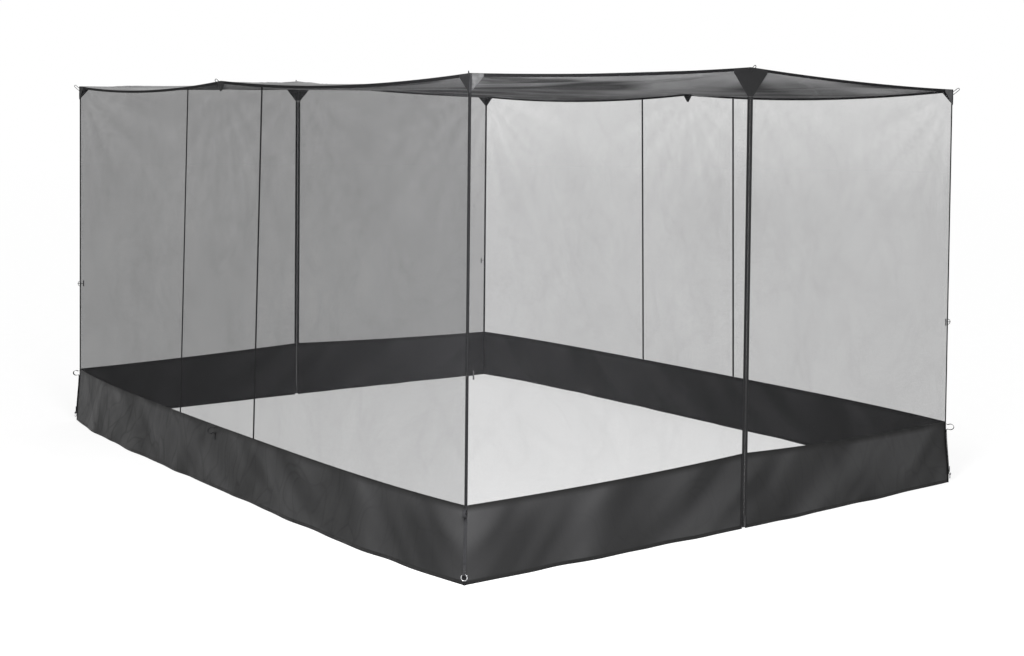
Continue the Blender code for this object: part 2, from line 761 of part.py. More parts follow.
def make_zip_tape(name, end, side):
    inner = ZIP_MIDDLE_GAP / 2
    coil = inner + COIL_WIDTH
    bevel = COIL_HEIGHT / 4
    section = (
        (inner, TAPE_INNER_FACE),
        (ZIP_TAPE_REACH, TAPE_INNER_FACE),
        (ZIP_TAPE_REACH, TAPE_OUTER_FACE),
        (coil, TAPE_OUTER_FACE),
        (coil, COIL_TOP - bevel),
        (coil - bevel, COIL_TOP),
        (inner + bevel, COIL_TOP),
        (inner, COIL_TOP - bevel),
    )
    curve = bpy.data.curves.new(name, "CURVE")
    curve.dimensions = "2D"
    curve.fill_mode = "BOTH"
    curve.extrude = (ZIP_TOP - ZIP_BOTTOM) / 2
    spline = curve.splines.new("POLY")
    spline.points.add(len(section) - 1)
    for point, (across, out) in zip(spline.points, section):
        point.co = (side * across, -out, 0, 1)
    spline.use_cyclic_u = True
    tape = add_object(name, curve, ZIP_COIL)
    zip_place(tape, end, (ZIP_TOP + ZIP_BOTTOM) / 2)


def add_plate(name, low, high, material):
    # A box between two corners
    mesh = bpy.data.meshes.new(name)
    box = bmesh.new()
    bmesh.ops.create_cube(box, size=1)
    size = [high[axis] - low[axis] for axis in range(3)]
    centre = [(high[axis] + low[axis]) / 2 for axis in range(3)]
    for point in box.verts:
        point.co = Vector(point.co[axis] * size[axis] + centre[axis] for axis in range(3))
    box.to_mesh(mesh)
    box.free()
    return add_object(name, mesh, material)


def bail_path(face, sign):
    path = []
    steps = 8
    for number in range(steps + 1):
        turn = math.pi * number / steps
        out = face + sign * BAIL_RISE * math.sin(turn)
        path.append(Vector((0, -out, BAIL_HALF_LENGTH * math.cos(turn))))
    path[0].y += sign * SLIDER_PLATE / 2
    path[-1].y += sign * SLIDER_PLATE / 2
    return path


def make_slider(name, end):
    half = SLIDER_LENGTH / 2
    wide = SLIDER_WIDTH / 2
    neck = SLIDER_NECK_WIDTH / 2
    outer_low = COIL_TOP + SLIDER_CLEARANCE
    outer_high = outer_low + SLIDER_PLATE
    inner_high = TAPE_INNER_FACE - SLIDER_CLEARANCE
    inner_low = inner_high - SLIDER_PLATE
    shoulder = half - (wide - neck)
    outline = [(-neck, -half), (neck, -half), (wide, -shoulder), (wide, shoulder), (neck, half), (-neck, half)]
    outline += [(-wide, shoulder), (-wide, -shoulder)]
    pieces = []
    for plate_name, low in (("outer_plate", outer_low), ("inner_plate", inner_low)):
        plate = add_outline(plate_name, [outline], SLIDER_PLATE, ZIP_METAL)
        plate.location = (0, -(low + SLIDER_PLATE / 2), 0)
        pieces.append(plate)
    post = add_plate(
        "post",
        (-SLIDER_POST_WIDTH / 2, -outer_low - SLIDER_PLATE / 2, -half + SLIDER_PLATE),
        (SLIDER_POST_WIDTH / 2, -inner_high + SLIDER_PLATE / 2, -half + SLIDER_PLATE + SLIDER_POST_LENGTH),
        ZIP_METAL,
    )
    pieces.append(post)
    for sign in (-1, 1):
        edges = sorted((sign * wide, sign * (wide - SLIDER_FLANGE)))
        flange = add_plate(
            "flange",
            (edges[0], -outer_low - SLIDER_PLATE / 2, -shoulder),
            (edges[1], -TAPE_OUTER_FACE - SLIDER_CLEARANCE, shoulder),
            ZIP_METAL,
        )
        pieces.append(flange)
    pieces.append(add_tube("outer_bail", bail_path(outer_high, 1), BAIL_WIRE, ZIP_METAL))
    pieces.append(add_tube("inner_bail", bail_path(inner_low, -1), BAIL_WIRE, ZIP_METAL))
    slider = fuse(name, pieces, ZIP_METAL)
    zip_place(slider, end, SLIDER_HEIGHT_AT_REST)
    return slider


def make_pull(name, end, inside, slider):
    # The bar at its top is on the hinge, and the tab hangs below
    hole = PULL_HOLE_WIDTH / 2
    top = PULL_TOP_WIDTH / 2
    foot = PULL_END_WIDTH / 2
    tip = PULL_LENGTH - foot
    outline = [(-top, PULL_BAR), (-top, -PULL_HOLE_LENGTH - PULL_BAR * 2), (-foot, -tip)]
    outline += arc_points((0, -tip), (foot, foot), math.pi, math.tau, 6)[1:-1]
    outline += [(foot, -tip), (top, -PULL_HOLE_LENGTH - PULL_BAR * 2), (top, PULL_BAR)]
    window = [(-hole, -PULL_BAR), (hole, -PULL_BAR), (hole, -PULL_HOLE_LENGTH - PULL_BAR)]
    window += [(-hole, -PULL_HOLE_LENGTH - PULL_BAR)]
    plate = add_outline("plate", [outline, window], PULL_THICKNESS, ZIP_METAL)
    pull = as_mesh(plate)
    pull.name = name
    face = COIL_TOP + SLIDER_CLEARANCE + SLIDER_PLATE + PULL_STAND
    if inside:
        face = TAPE_INNER_FACE - SLIDER_CLEARANCE - SLIDER_PLATE - PULL_STAND
    pull.location = (0, -face, 0)
    bpy.context.view_layer.update()
    zip_place(pull, end, SLIDER_HEIGHT_AT_REST)
    world = pull.matrix_world.copy()
    pull.parent = slider
    pull.matrix_world = world


def make_zip(end):
    for side_name, side in (("left", -1), ("right", 1)):
        half = side if end == "front" else -side
        make_zip_tape(f"{end}_zip_tape_{side_name}", end, half)
    slider = make_slider(f"{end}_zip_slider", end)
    make_pull(f"{end}_zip_pull_outer", end, False, slider)
    make_pull(f"{end}_zip_pull_inner", end, True, slider)


make_roof()
make_roof_binding()
for side_of_room in ("left", "right"):
    make_long_wall(side_of_room)
    make_middle_tie(
        f"{side_of_room}_middle_tie", WALLS[side_of_room], SIDE_PATCH_WIDTH, SIDE_PATCH_DROP, SIDE_PATCH_FOOT,
        CORNER_PATCH_TIP,
    )
    make_side_loop(f"{side_of_room}_skirt_loop", WALLS[side_of_room])
for end_of_room in ("front", "rear"):
    make_door_wall(end_of_room)
    make_middle_tie(
        f"{end_of_room}_peak_tie", WALLS[end_of_room], PEAK_PATCH_WIDTH, PEAK_PATCH_DROP, PEAK_PATCH_FOOT,
        PEAK_PATCH_TIP,
    )
    make_zip(end_of_room)
for corner_name, corner_of_room in CORNERS.items():
    make_corner_binding(f"{corner_name}_binding", corner_of_room)
    make_corner_tie(f"{corner_name}_tie", corner_of_room)
    make_corner_strap(f"{corner_name}_strap", corner_of_room)
    make_ring(f"{corner_name}_peg_ring", corner_of_room)
    make_toggle(f"{corner_name}_toggle", corner_of_room)
bpy.context.view_layer.update()
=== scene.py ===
import math
import bpy
from mathutils import Matrix, Vector, noise


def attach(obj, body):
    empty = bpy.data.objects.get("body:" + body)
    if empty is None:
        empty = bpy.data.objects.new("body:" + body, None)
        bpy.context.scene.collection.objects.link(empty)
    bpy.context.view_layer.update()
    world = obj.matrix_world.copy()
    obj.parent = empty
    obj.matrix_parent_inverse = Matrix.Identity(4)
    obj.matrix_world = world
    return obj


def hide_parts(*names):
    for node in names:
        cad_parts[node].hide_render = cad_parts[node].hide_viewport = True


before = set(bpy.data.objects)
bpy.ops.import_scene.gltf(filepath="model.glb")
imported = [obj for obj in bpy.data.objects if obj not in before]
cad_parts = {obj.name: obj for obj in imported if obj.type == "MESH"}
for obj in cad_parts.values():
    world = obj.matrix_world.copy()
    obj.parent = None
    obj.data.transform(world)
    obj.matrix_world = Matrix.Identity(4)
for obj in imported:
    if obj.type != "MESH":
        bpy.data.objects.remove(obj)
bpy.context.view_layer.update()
print("model loaded:", len(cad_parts), "nodes")

up = Vector((0, 0, 1))


# Camera: eye height of a standing person, in front of the near corner. Its image is given in pixels
view = {
    "place": (-4.4572, -6.1560, 1.629), "turn": 0.6478, "tilt": math.radians(2), "roll": 0.0102,
    "width": 1024, "height": 656, "focal": 1529.7, "centreRow": 176.4, "sensor": 36, "farthest": 200,
}

camera = bpy.data.objects.new("camera", bpy.data.cameras.new("camera"))
bpy.context.scene.collection.objects.link(camera)
camera.data.sensor_width = view["sensor"]
camera.data.lens = view["sensor"] * view["focal"] / view["width"]
camera.data.shift_y = (view["centreRow"] - view["height"] / 2) / view["width"]
camera.data.clip_end = view["farthest"]
camera.matrix_world = (
    Matrix.Translation(view["place"])
    @ Matrix.Rotation(-view["turn"], 4, "Z")
    @ Matrix.Rotation(math.pi / 2 - view["tilt"], 4, "X")
    @ Matrix.Rotation(view["roll"], 4, "Z")
)
bpy.context.scene.camera = camera
bpy.context.scene.view_settings.view_transform = "Standard"
print("camera placed")


# The room's surfaces, as the cloth hangs. Left is -X, the front door faces -Y.
room = {
    "width": 2.70, "length": 3.60, "height": 1.80, "skirt": 0.28, "peak": 0.060, "longBow": 0.060,
    "longSkirtBow": 0.088, "shortBow": 0.040, "flare": 0.012, "longSag": 0.032, "shortSag": 0.012,
    "doorSkirtRise": 0.028, "ridgeLeft": 0.35, "belly": 0.030, "cloth": 0.0005, "tape": 0.0008,
    "patch": 0.0008, "gap": 0.0003, "nearEnd": 0.0012, "doorEdge": 0.009,
    "seamShares": {"front": 0.4, "rear": 0.6},
}
skirtFold = {"depth": 0.004, "spacing": 0.52, "crease": 0.002, "creaseSpacing": 0.27, "start": 0.09,
             "fade": 0.20, "slant": 0.20}
halfWidth, halfLength = room["width"] / 2, room["length"] / 2
tapeOffset = room["cloth"] / 2 + room["gap"] + room["tape"] / 2
patchOffset = tapeOffset + room["tape"] / 2 + room["gap"] + room["patch"] / 2
longWall = {"length": room["length"], "bow": room["longBow"], "sag": room["longSag"], "peak": 0, "rise": 0}
shortWall = {"length": room["width"], "bow": room["shortBow"], "sag": room["shortSag"], "peak": room["peak"],
             "rise": room["doorSkirtRise"]}
walls = {
    "left": {"start": (-1, -1), "along": (0, 1), "out": (-1, 0), **longWall},
    "right": {"start": (1, -1), "along": (0, 1), "out": (1, 0), **longWall},
    "front": {"start": (-1, -1), "along": (1, 0), "out": (0, -1), **shortWall},
    "rear": {"start": (-1, 1), "along": (1, 0), "out": (0, 1), **shortWall},
}
corners = {
    "front_left": {"signs": (-1, -1), "walls": ("left", "front")},
    "front_right": {"signs": (1, -1), "walls": ("right", "front")},
    "rear_left": {"signs": (-1, 1), "walls": ("left", "rear")},
    "rear_right": {"signs": (1, 1), "walls": ("right", "rear")},
}


def ease(value):
    value = max(0.0, min(value, 1.0))
    return value * value * (3 - 2 * value)


def tentCurve(share):
    return 1 - abs(2 * share - 1)


def cornerFlare(height):
    share = max(0, min(height / room["skirt"], 1))
    return room["flare"] * (1 + math.cos(math.pi * share)) / 2


def wallBow(wall, share, height):
    if wall["peak"]:
        return wall["bow"] * math.sin(math.pi * share)
    high = min(height / room["height"], 1)
    full = 1 - (1 - tentCurve(share)) ** 4
    return high * wall["bow"] * tentCurve(share) + (1 - high) * room["longSkirtBow"] * full


def skirtTop(wall, along):
    return room["skirt"] + wall["rise"] * tentCurve(along / wall["length"]) ** 2


def heldPlaces(wall):
    return 0, wall["length"] / 2, wall["length"]


def mainFold(wall, along, height):
    if height >= room["skirt"]:
        return 0.0
    near = min(abs(along - place) for place in heldPlaces(wall))
    fade = ease((near - skirtFold["start"]) / skirtFold["fade"])
    slant = along + skirtFold["slant"] * height / room["skirt"]
    folds = skirtFold["depth"] * math.sin(math.tau * slant / skirtFold["spacing"])
    folds += skirtFold["crease"] * math.sin(math.tau * slant / skirtFold["creaseSpacing"] + 1)
    return fade * (1 - height / room["skirt"]) * folds


def edgeHeight(wall, along):
    run = tentCurve(along / wall["length"])
    return room["height"] + wall["peak"] * run - wall["sag"] * 4 * run * (1 - run)


def wallPoint(wall, along, height, offset=0.0):
    share, flare = along / wall["length"], cornerFlare(height)
    reach = along + flare * (2 * share - 1)
    out = wallBow(wall, share, height) + flare * (2 * share - 1) ** 2 + mainFold(wall, along, height) + offset
    x, y = (start * half + forward * reach + outward * out for start, half, forward, outward
            in zip(wall["start"], (halfWidth, halfLength), wall["along"], wall["out"]))
    return Vector((x, y, height))


def cornerPoint(corner, height, offset=0.0):
    out = cornerFlare(height) + offset
    signs = corner["signs"]
    return Vector((signs[0] * (halfWidth + out), signs[1] * (halfLength + out), height))


def diagonal(corner):
    return Vector((*corner["signs"], 0)).normalized()


def alongFrom(corner, wallName, distance):
    wall = walls[wallName]
    return distance if wall["start"] == corner["signs"] else wall["length"] - distance


# Building meshes. A shape collects points, faces, a map in metres and material slots.
def newShape():
    return {"points": [], "faces": [], "maps": [], "slots": []}


def addFace(shape, corners, mapped, slot=0):
    shape["faces"].append(corners)
    shape["maps"].append(mapped)
    shape["slots"].append(slot)


def addGrid(shape, columns, rows, place, mapOf, ring=False):
    base = len(shape["points"])
    wide = columns if ring else columns + 1
    shape["points"] += [place(column, row) for row in range(rows + 1) for column in range(wide)]
    for row in range(rows):
        low, high = base + row * wide, base + (row + 1) * wide
        for column in range(columns):
            after = (column + 1) % wide
            addFace(shape, (low + column, low + after, high + after, high + column),
                    [mapOf(column + right, row + above) for right, above in ((0, 0), (1, 0), (1, 1), (0, 1))])


def joinRings(shape, low, high, wide, mapOf, slot=0, turned=False):
    # Faces between two rings of points. mapOf takes a step round the ring, and 0 for low or 1 for high
    for step in range(wide):
        after = (step + 1) % wide
        corners = [low + step, low + after, high + after, high + step]
        mapped = [mapOf(step, 0), mapOf(step + 1, 0), mapOf(step + 1, 1), mapOf(step, 1)]
        addFace(shape, corners[::-1] if turned else corners, mapped[::-1] if turned else mapped, slot)


def addCap(shape, low, mapped, turned, slot=0):
    # One face that closes a ring of points
    loop, mapped = list(range(low, low + len(mapped))), list(mapped)
    addFace(shape, loop[::-1] if turned else loop, mapped[::-1] if turned else mapped, slot)


def runLengths(path):
    runs = [0.0]
    for here, there in zip(path, path[1:]):
        runs.append(runs[-1] + (there - here).length)
    return runs


def partAt(runs, want):
    # The stretch that holds a distance along a path, and how far into the stretch it lies
    part = max(number for number in range(len(runs) - 1) if runs[number] <= want + 1e-9)
    return part, (want - runs[part]) / max(runs[part + 1] - runs[part], 1e-9)


def pointsAlong(path, count):
    # Points at even steps along a path, with both its ends
    runs = runLengths(path)
    places = [partAt(runs, runs[-1] * number / count) for number in range(count + 1)]
    return [path[part].lerp(path[part + 1], share) for part, share in places]


def addSweep(shape, path, section, side=None, ring=False, slot=0, sizes=None):
    # Carries a closed outline along a path. With a side, the outline keeps its width along it.
    count, wide, base = len(path), len(section), len(shape["points"])
    runs = runLengths(path)
    around = runLengths([Vector(point) for point in section + section[:1]])
    across = None
    for number, spot in enumerate(path):
        if ring:
            tangent = path[(number + 1) % count] - path[number - 1]
        else:
            tangent = path[min(number + 1, count - 1)] - path[max(number - 1, 0)]
        tangent.normalize()
        if side is not None:
            across = side.copy()
        elif across is None:
            across = tangent.cross(up if abs(tangent.z) < 0.9 else Vector((1, 0, 0)))
        across = (across - tangent * across.dot(tangent)).normalized()
        outward = across.cross(tangent)
        size = sizes[number] if sizes else 1
        shape["points"] += [spot + (across * a + outward * b) * size for a, b in section]
    for number in range(count if ring else count - 1):
        low, high = base + number * wide, base + (number + 1) % count * wide
        ends = runs[number], runs[number + 1] if number + 1 < count else runs[number] + runs[1]
        joinRings(shape, low, high, wide, lambda step, level: (around[step], ends[level]), slot)
    if not ring:
        addCap(shape, base, section, True, slot)
        addCap(shape, base + (count - 1) * wide, section, False, slot)


def roundSection(radius, sides):
    turns = [math.tau * number / sides for number in range(sides)]
    return [(radius * math.cos(turn), radius * math.sin(turn)) for turn in turns]


def bandSection(width, thickness, columns=6):
    # A flat band with rounded edges
    half, thin = width / 2, thickness / 2
    inner = half - thin
    lower = [(-inner + 2 * inner * number / columns, -thin) for number in range(columns + 1)]
    upper = [(-place, thin) for place, _ in lower]
    return lower + [(half, 0)] + upper + [(-half, 0)]


def addLathe(shape, profile, steps, place):
    # Turns a profile of (radius, height) about Z, then places it
    base = len(shape["points"])
    for radius, height in profile:
        shape["points"] += [place @ Vector((x, y, height)) for x, y in roundSection(radius, steps)]
    for number in range(len(profile) - 1):
        low = base + number * steps
        joinRings(shape, low, low + steps, steps,
                  lambda step, level: (step / steps, profile[number + level][1]))
    addCap(shape, base, [(0, 0)] * steps, True)
    addCap(shape, base + (len(profile) - 1) * steps, [(0, 0)] * steps, False)


def inset(outline, amount):
    # Moves each point of a closed outline inwards
    moved = []
    count = len(outline)
    for number in range(count):
        before, here, after = (Vector(outline[(number + step) % count]) for step in (-1, 0, 1))
        first, second = (here - before).normalized(), (after - here).normalized()
        normal = Vector((-first.y - second.y, first.x + second.x))
        if normal.length < 1e-9:
            normal = Vector((-first.y, first.x))
        normal.normalize()
        bend = max(0.4, normal.dot(Vector((-first.y, first.x))))
        moved.append(tuple(here + normal * (amount / bend)))
    return moved


def addPlate(shape, outline, low, high, bevel, place, window=None):
    # A plate between two depths along Y with bevelled edges; the outline runs counterclockwise in XZ
    levels = ((low, bevel), (low + bevel, 0), (high - bevel, 0), (high, bevel))
    count = len(outline)

    def addRim(loop, inwards):
        base = len(shape["points"])
        for depth, cut in levels:
            shape["points"] += [place @ Vector((x, depth, z)) for x, z in inset(loop, inwards * cut)]
        for level in range(3):
            foot = base + level * count
            joinRings(shape, foot, foot + count, count, lambda step, _: loop[step % count],
                      turned=inwards < 0)
        return base

    rim = addRim(outline, 1)
    hole = addRim(window, -1) if window else None
    for level, turned in ((0, True), (3, False)):
        outer = rim + level * count
        if window:
            joinRings(shape, outer, hole + level * count, count,
                      lambda step, inner: (window if inner else outline)[step % count], turned=turned)
        else:
            addCap(shape, outer, outline, turned)


def sameCount(outline, count):
    # Walks round an outline and sets points at even steps
    return pointsAlong([Vector(point) for point in outline + outline[:1]], count)[:-1]


def makePiece(name, shape, materials, stands=None, body="tent", thickness=0.0, sharp=40):
    mesh = bpy.data.meshes.new(name)
    mesh.from_pydata([tuple(point) for point in shape["points"]], [], shape["faces"])
    layer = mesh.uv_layers.new(name="metres")
    layer.data.foreach_set("uv", [value for mapped in shape["maps"] for point in mapped
                                  for value in point[:2]])
    mesh.polygons.foreach_set("material_index", shape["slots"])
    for material in materials:
        mesh.materials.append(material)
    mesh.validate()
    mesh.shade_smooth()
    if sharp:
        mesh.set_sharp_from_angle(angle=math.radians(sharp))
    piece = bpy.data.objects.new(name, mesh)
    bpy.context.scene.collection.objects.link(piece)
    if thickness:
        shell = piece.modifiers.new("thickness", "SOLIDIFY")
        shell.thickness = thickness
        shell.offset = 0
    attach(piece, body)
    if stands:
        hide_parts(stands)
    return piece


def paint(piece, name, values):
    # A value at each point, which the material reads
    piece.data.attributes.new(name, "FLOAT", "POINT").data.foreach_set("value", values)


def addStitches(shape, path, normals, stitch, slot):
    # Raised thread dashes that follow a path lying on a face
    runs = runLengths(path)
    section = roundSection(stitch["radius"], 5)
    start = stitch["spacing"] / 2
    while start + stitch["length"] < runs[-1]:
        points = []
        for place, lift in ((0, -0.3), (0.2, 0.35), (0.8, 0.35), (1, -0.3)):
            part, share = partAt(runs, start + stitch["length"] * place)
            normal = normals[part].lerp(normals[part + 1], share)
            points.append(path[part].lerp(path[part + 1], share) + normal * (stitch["radius"] * lift))
        addSweep(shape, points, section, slot=slot, sizes=(0.5, 1, 1, 0.5))
        start += stitch["spacing"]


# Node helpers
def feed(tree, node, inputs):
    # Sets each socket to a value, or links it to another node's socket
    for key, value in inputs.items():
        if isinstance(value, bpy.types.NodeSocket):
            tree.links.new(value, node.inputs[key])
        else:
            node.inputs[key].default_value = value


def addNode(tree, kind, inputs=None, **settings):
    made = tree.nodes.new(kind)
    for key, value in settings.items():
        setattr(made, key, value)
    feed(tree, made, inputs or {})
    return made


def math2(tree, operation, first, second=0.0, clamp=False):
    made = addNode(tree, "ShaderNodeMath", {0: first, 1: second}, operation=operation, use_clamp=clamp)
    return made.outputs[0]


def chained(tree, operation, first, *others):
    for value in others:
        first = math2(tree, operation, first, value)
    return first


def scaled(tree, value, factor):
    return math2(tree, "MULTIPLY", value, factor)


def ranged(tree, value, low, high, toLow=0.0, toHigh=1.0):
    limits = {"From Min": low, "From Max": high, "To Min": toLow, "To Max": toHigh}
    return addNode(tree, "ShaderNodeMapRange", {"Value": value, **limits}).outputs["Result"]


def vectorMath(tree, operation, inputs):
    return addNode(tree, "ShaderNodeVectorMath", inputs, operation=operation).outputs[0]


def turnedMap(tree, place, angle):
    given = {"Vector": place, "Angle": angle}
    return addNode(tree, "ShaderNodeVectorRotate", given, rotation_type="Z_AXIS").outputs[0]


def split(tree, place):
    return addNode(tree, "ShaderNodeSeparateXYZ", {"Vector": place}).outputs


def clouds(tree, place, scale, detail, **more):
    inputs = {"Vector": place, "Scale": scale, "Detail": detail, **more}
    return addNode(tree, "ShaderNodeTexNoise", inputs).outputs["Fac"]


def painted(tree, name):
    return addNode(tree, "ShaderNodeAttribute", attribute_name=name).outputs["Fac"]


def newGroup(name, inputs, outputs):
    # inputs gives each input's usual value, or None for a vector
    tree = bpy.data.node_groups.new(name, "ShaderNodeTree")
    for label, value in inputs.items():
        kind = "NodeSocketVector" if value is None else "NodeSocketFloat"
        socket = tree.interface.new_socket(name=label, in_out="INPUT", socket_type=kind)
        if value is not None:
            socket.default_value = value
    for label in outputs:
        tree.interface.new_socket(name=label, in_out="OUTPUT", socket_type="NodeSocketFloat")
    return tree, tree.nodes.new("NodeGroupInput").outputs, tree.nodes.new("NodeGroupOutput")


def useGroup(tree, group, inputs):
    return addNode(tree, "ShaderNodeGroup", inputs, node_tree=group).outputs


def makeWeave():
    # Plain weave: threads that pass over and under each other
    tree, given, wanted = newGroup("plainWeave", {"Map": None, "Threads": 900.0}, ["Height"])
    parts = split(tree, given["Map"])
    waves = [math2(tree, "SINE", chained(tree, "MULTIPLY", parts[axis], given["Threads"], math.pi))
             for axis in "XY"]
    feed(tree, wanted, {"Height": ranged(tree, scaled(tree, *waves), -1, 1)})
    return tree


def makeCreases():
    # Soft folds and finer crinkles of thin cloth that was packed away
    tree, given, wanted = newGroup("packedCreases", {"Map": None, "Scale": 3.0, "Slant": 0.5},
                                   ["Height", "Line", "Cloud"])
    turned = turnedMap(tree, given["Map"], given["Slant"])
    warp = addNode(tree, "ShaderNodeTexNoise", {"Vector": turned, "Scale": 1.6, "Detail": 2.0})
    wander = vectorMath(tree, "SCALE", {0: warp.outputs["Color"], "Scale": 0.5})
    moved = vectorMath(tree, "ADD", {0: turned, 1: wander})
    long = vectorMath(tree, "MULTIPLY", {0: moved, 1: (1.0, 0.28, 1.0)})
    cells = addNode(tree, "ShaderNodeTexVoronoi", {"Vector": long, "Scale": given["Scale"]},
                    feature="DISTANCE_TO_EDGE")
    line = ranged(tree, cells.outputs["Distance"], 0.0, 0.05, 1.0, 0.0)
    folds = clouds(tree, long, given["Scale"], 4.0, Roughness=0.55)
    feed(tree, wanted, {
        "Height": math2(tree, "ADD", scaled(tree, line, 0.25), folds), "Line": line,
        "Cloud": ranged(tree, clouds(tree, given["Map"], 1.3, 3.0), 0.3, 0.7),
    })
    return tree


def makeRibs():
    # Ribs across a band: webbing, coil turns or braid
    tree, given, wanted = newGroup("bandRibs", {"Map": None, "Ribs": 700.0, "Strands": 900.0, "Twist": 0.0},
                                   ["Height", "Shade"])
    parts = split(tree, given["Map"])
    lean = math2(tree, "ADD", parts["Y"], scaled(tree, parts["X"], given["Twist"]))
    ribs = math2(tree, "SINE", chained(tree, "MULTIPLY", lean, given["Ribs"], math.tau))
    strands = math2(tree, "SINE", chained(tree, "MULTIPLY", parts["X"], given["Strands"], math.tau))
    mixed = math2(tree, "ADD", scaled(tree, ribs, 0.5), scaled(tree, strands, 0.25))
    feed(tree, wanted, {
        "Height": ranged(tree, mixed, -0.75, 0.75),
        "Shade": ranged(tree, clouds(tree, given["Map"], 90.0, 3.0), 0.3, 0.7),
    })
    return tree


weaveGroup, creaseGroup, ribGroup = makeWeave(), makeCreases(), makeRibs()


def creasesAt(tree, place, scale, slant):
    return useGroup(tree, creaseGroup, {"Map": place, "Scale": scale, "Slant": slant})


def newMaterial(name, roughness, specular=0.5, metallic=0.0):
    material = bpy.data.materials.new(name)
    material.use_nodes = True
    tree = material.node_tree
    shader = tree.nodes["Principled BSDF"]
    feed(tree, shader, {"Roughness": roughness, "Metallic": metallic, "Specular IOR Level": specular})
    place = addNode(tree, "ShaderNodeUVMap", uv_map="metres").outputs["UV"]
    return material, tree, shader, place


def mixColour(tree, factor, first, second):
    made = addNode(tree, "ShaderNodeMix", {"Factor": factor}, data_type="RGBA")
    for key, value in ((6, first), (7, second)):
        feed(tree, made, {key: value if isinstance(value, bpy.types.NodeSocket) else (*value, 1)})
    return made.outputs[2]


def addBumps(tree, shader, *layers):
    # Each layer gives a height, its depth in metres and its strength
    normal = {}
    for height, depth, strength in layers:
        given = {"Height": height, "Distance": depth, "Strength": strength, **normal}
        normal = {"Normal": addNode(tree, "ShaderNodeBump", given).outputs["Normal"]}
    feed(tree, shader, normal)


print("helpers ready")


# Net: fine knitted mesh. Cover is the share of the light that its threads stop.
net = {
    "pitch": 0.0016, "thread": 0.22, "colour": (0.022, 0.022, 0.024), "pale": (0.035, 0.035, 0.037),
    "rowShare": 0.9, "columnStep": 0.03, "rows": 44,
    "cover": {"left": 0.48, "right": 0.32, "front": 0.285, "rear": 0.51}, "threadShade": 0.26,
    "openShade": -0.085, "lineShade": 0.012, "crinkleShade": 0.016, "cloudShade": 0.02, "tautShade": -0.023,
    "clearFrom": 1.2, "clearTo": 1.78,
    "clearTop": {"left": -0.01, "right": 0.07, "front": 0.10, "rear": 0.02},
}
netSlack = {"side": 0.10, "top": 0.12, "foot": 0.03, "footFade": 0.15, "depth": 0.004, "ripple": 0.002,
            "pull": 0.003, "pulls": 16, "reach": 0.4, "farthest": 0.9}
netRays = {"broad": 14, "narrow": 31, "narrowShare": 0.6, "lean": 2.5, "reach": 0.65, "clear": 0.2}


def makeNetMaterial(name, cover, clearTop):
    material, tree, shader, place = newMaterial(name, 0.8, specular=0.15)
    threads = addNode(tree, "ShaderNodeTexBrick", {
        "Vector": place, "Color1": (0, 0, 0, 1), "Color2": (0, 0, 0, 1), "Mortar": (1, 1, 1, 1), "Scale": 1.0,
        "Mortar Size": net["pitch"] * net["thread"] / 2, "Mortar Smooth": 0.4, "Brick Width": net["pitch"],
        "Row Height": net["pitch"] * net["rowShare"],
    }, offset=0.5).outputs["Fac"]
    creases, fine = creasesAt(tree, place, 2.2, 0.6), creasesAt(tree, place, 5.5, -0.4)
    crinkle, cloud = net["crinkleShade"], net["cloudShade"]
    alpha = chained(
        tree, "ADD", scaled(tree, threads, net["threadShade"]), cover + net["openShade"],
        scaled(tree, creases["Line"], net["lineShade"]),
        ranged(tree, fine["Height"], 0.3, 0.9, -crinkle, crinkle),
        ranged(tree, creases["Cloud"], 0, 1, -cloud, cloud),
        scaled(tree, painted(tree, "taut"), net["tautShade"]))
    # Painted light: towards the roof the net lets more through, so it shows paler at the top
    ramp = ranged(tree, split(tree, place)["Y"], net["clearFrom"], net["clearTo"], 0, clearTop)
    ramp.node.interpolation_type = "SMOOTHSTEP"
    alpha = math2(tree, "SUBTRACT", alpha, ramp, clamp=True)
    feed(tree, shader, {"Alpha": alpha, "Base Color": mixColour(tree, threads, net["colour"], net["pale"])})
    addBumps(tree, shader, (creases["Height"], 0.01, 0.4))
    return material


netMaterials = {
    name: makeNetMaterial("net_" + name, net["cover"][name], net["clearTop"][name]) for name in walls
}


def netSway(wall, low, high, along, height):
    # Slack between the sewn edges, and pulls that run down from the ties
    side, top = min(along - low, high - along), edgeHeight(wall, along) - height
    foot = height - room["skirt"] - netSlack["foot"]
    hold = ease(side / netSlack["side"]) * ease(top / netSlack["top"]) * ease(foot / netSlack["footFade"])
    place = Vector((along * 1.1 + wall["out"][0] * 7, height * 0.8 + wall["out"][1] * 5, 0.3))
    sway = netSlack["depth"] * noise.noise(place * 1.7) + netSlack["ripple"] * noise.noise(place * 5)
    for tie in heldPlaces(wall):
        away, angle = math.hypot(along - tie, top), math.atan2(top, along - tie)
        if away < netSlack["farthest"]:
            fade = math.exp(-(away / netSlack["reach"]) ** 2)
            sway += netSlack["pull"] * fade * math.sin(netSlack["pulls"] * angle)
    return hold * sway


def netPull(wall, along, height):
    # Light and dark rays where the ties stretch the net
    top = edgeHeight(wall, along) - height
    pull = 0.0
    for number, tie in enumerate(heldPlaces(wall)):
        away, angle = math.hypot(along - tie, top), math.atan2(top, along - tie)
        rays = math.sin(netRays["broad"] * angle + number + netRays["lean"] * away)
        rays += netRays["narrowShare"] * math.sin(netRays["narrow"] * angle + 2 * number)
        pull += rays * math.exp(-(away / netRays["reach"]) ** 2) * ease(away / netRays["clear"])
    return pull


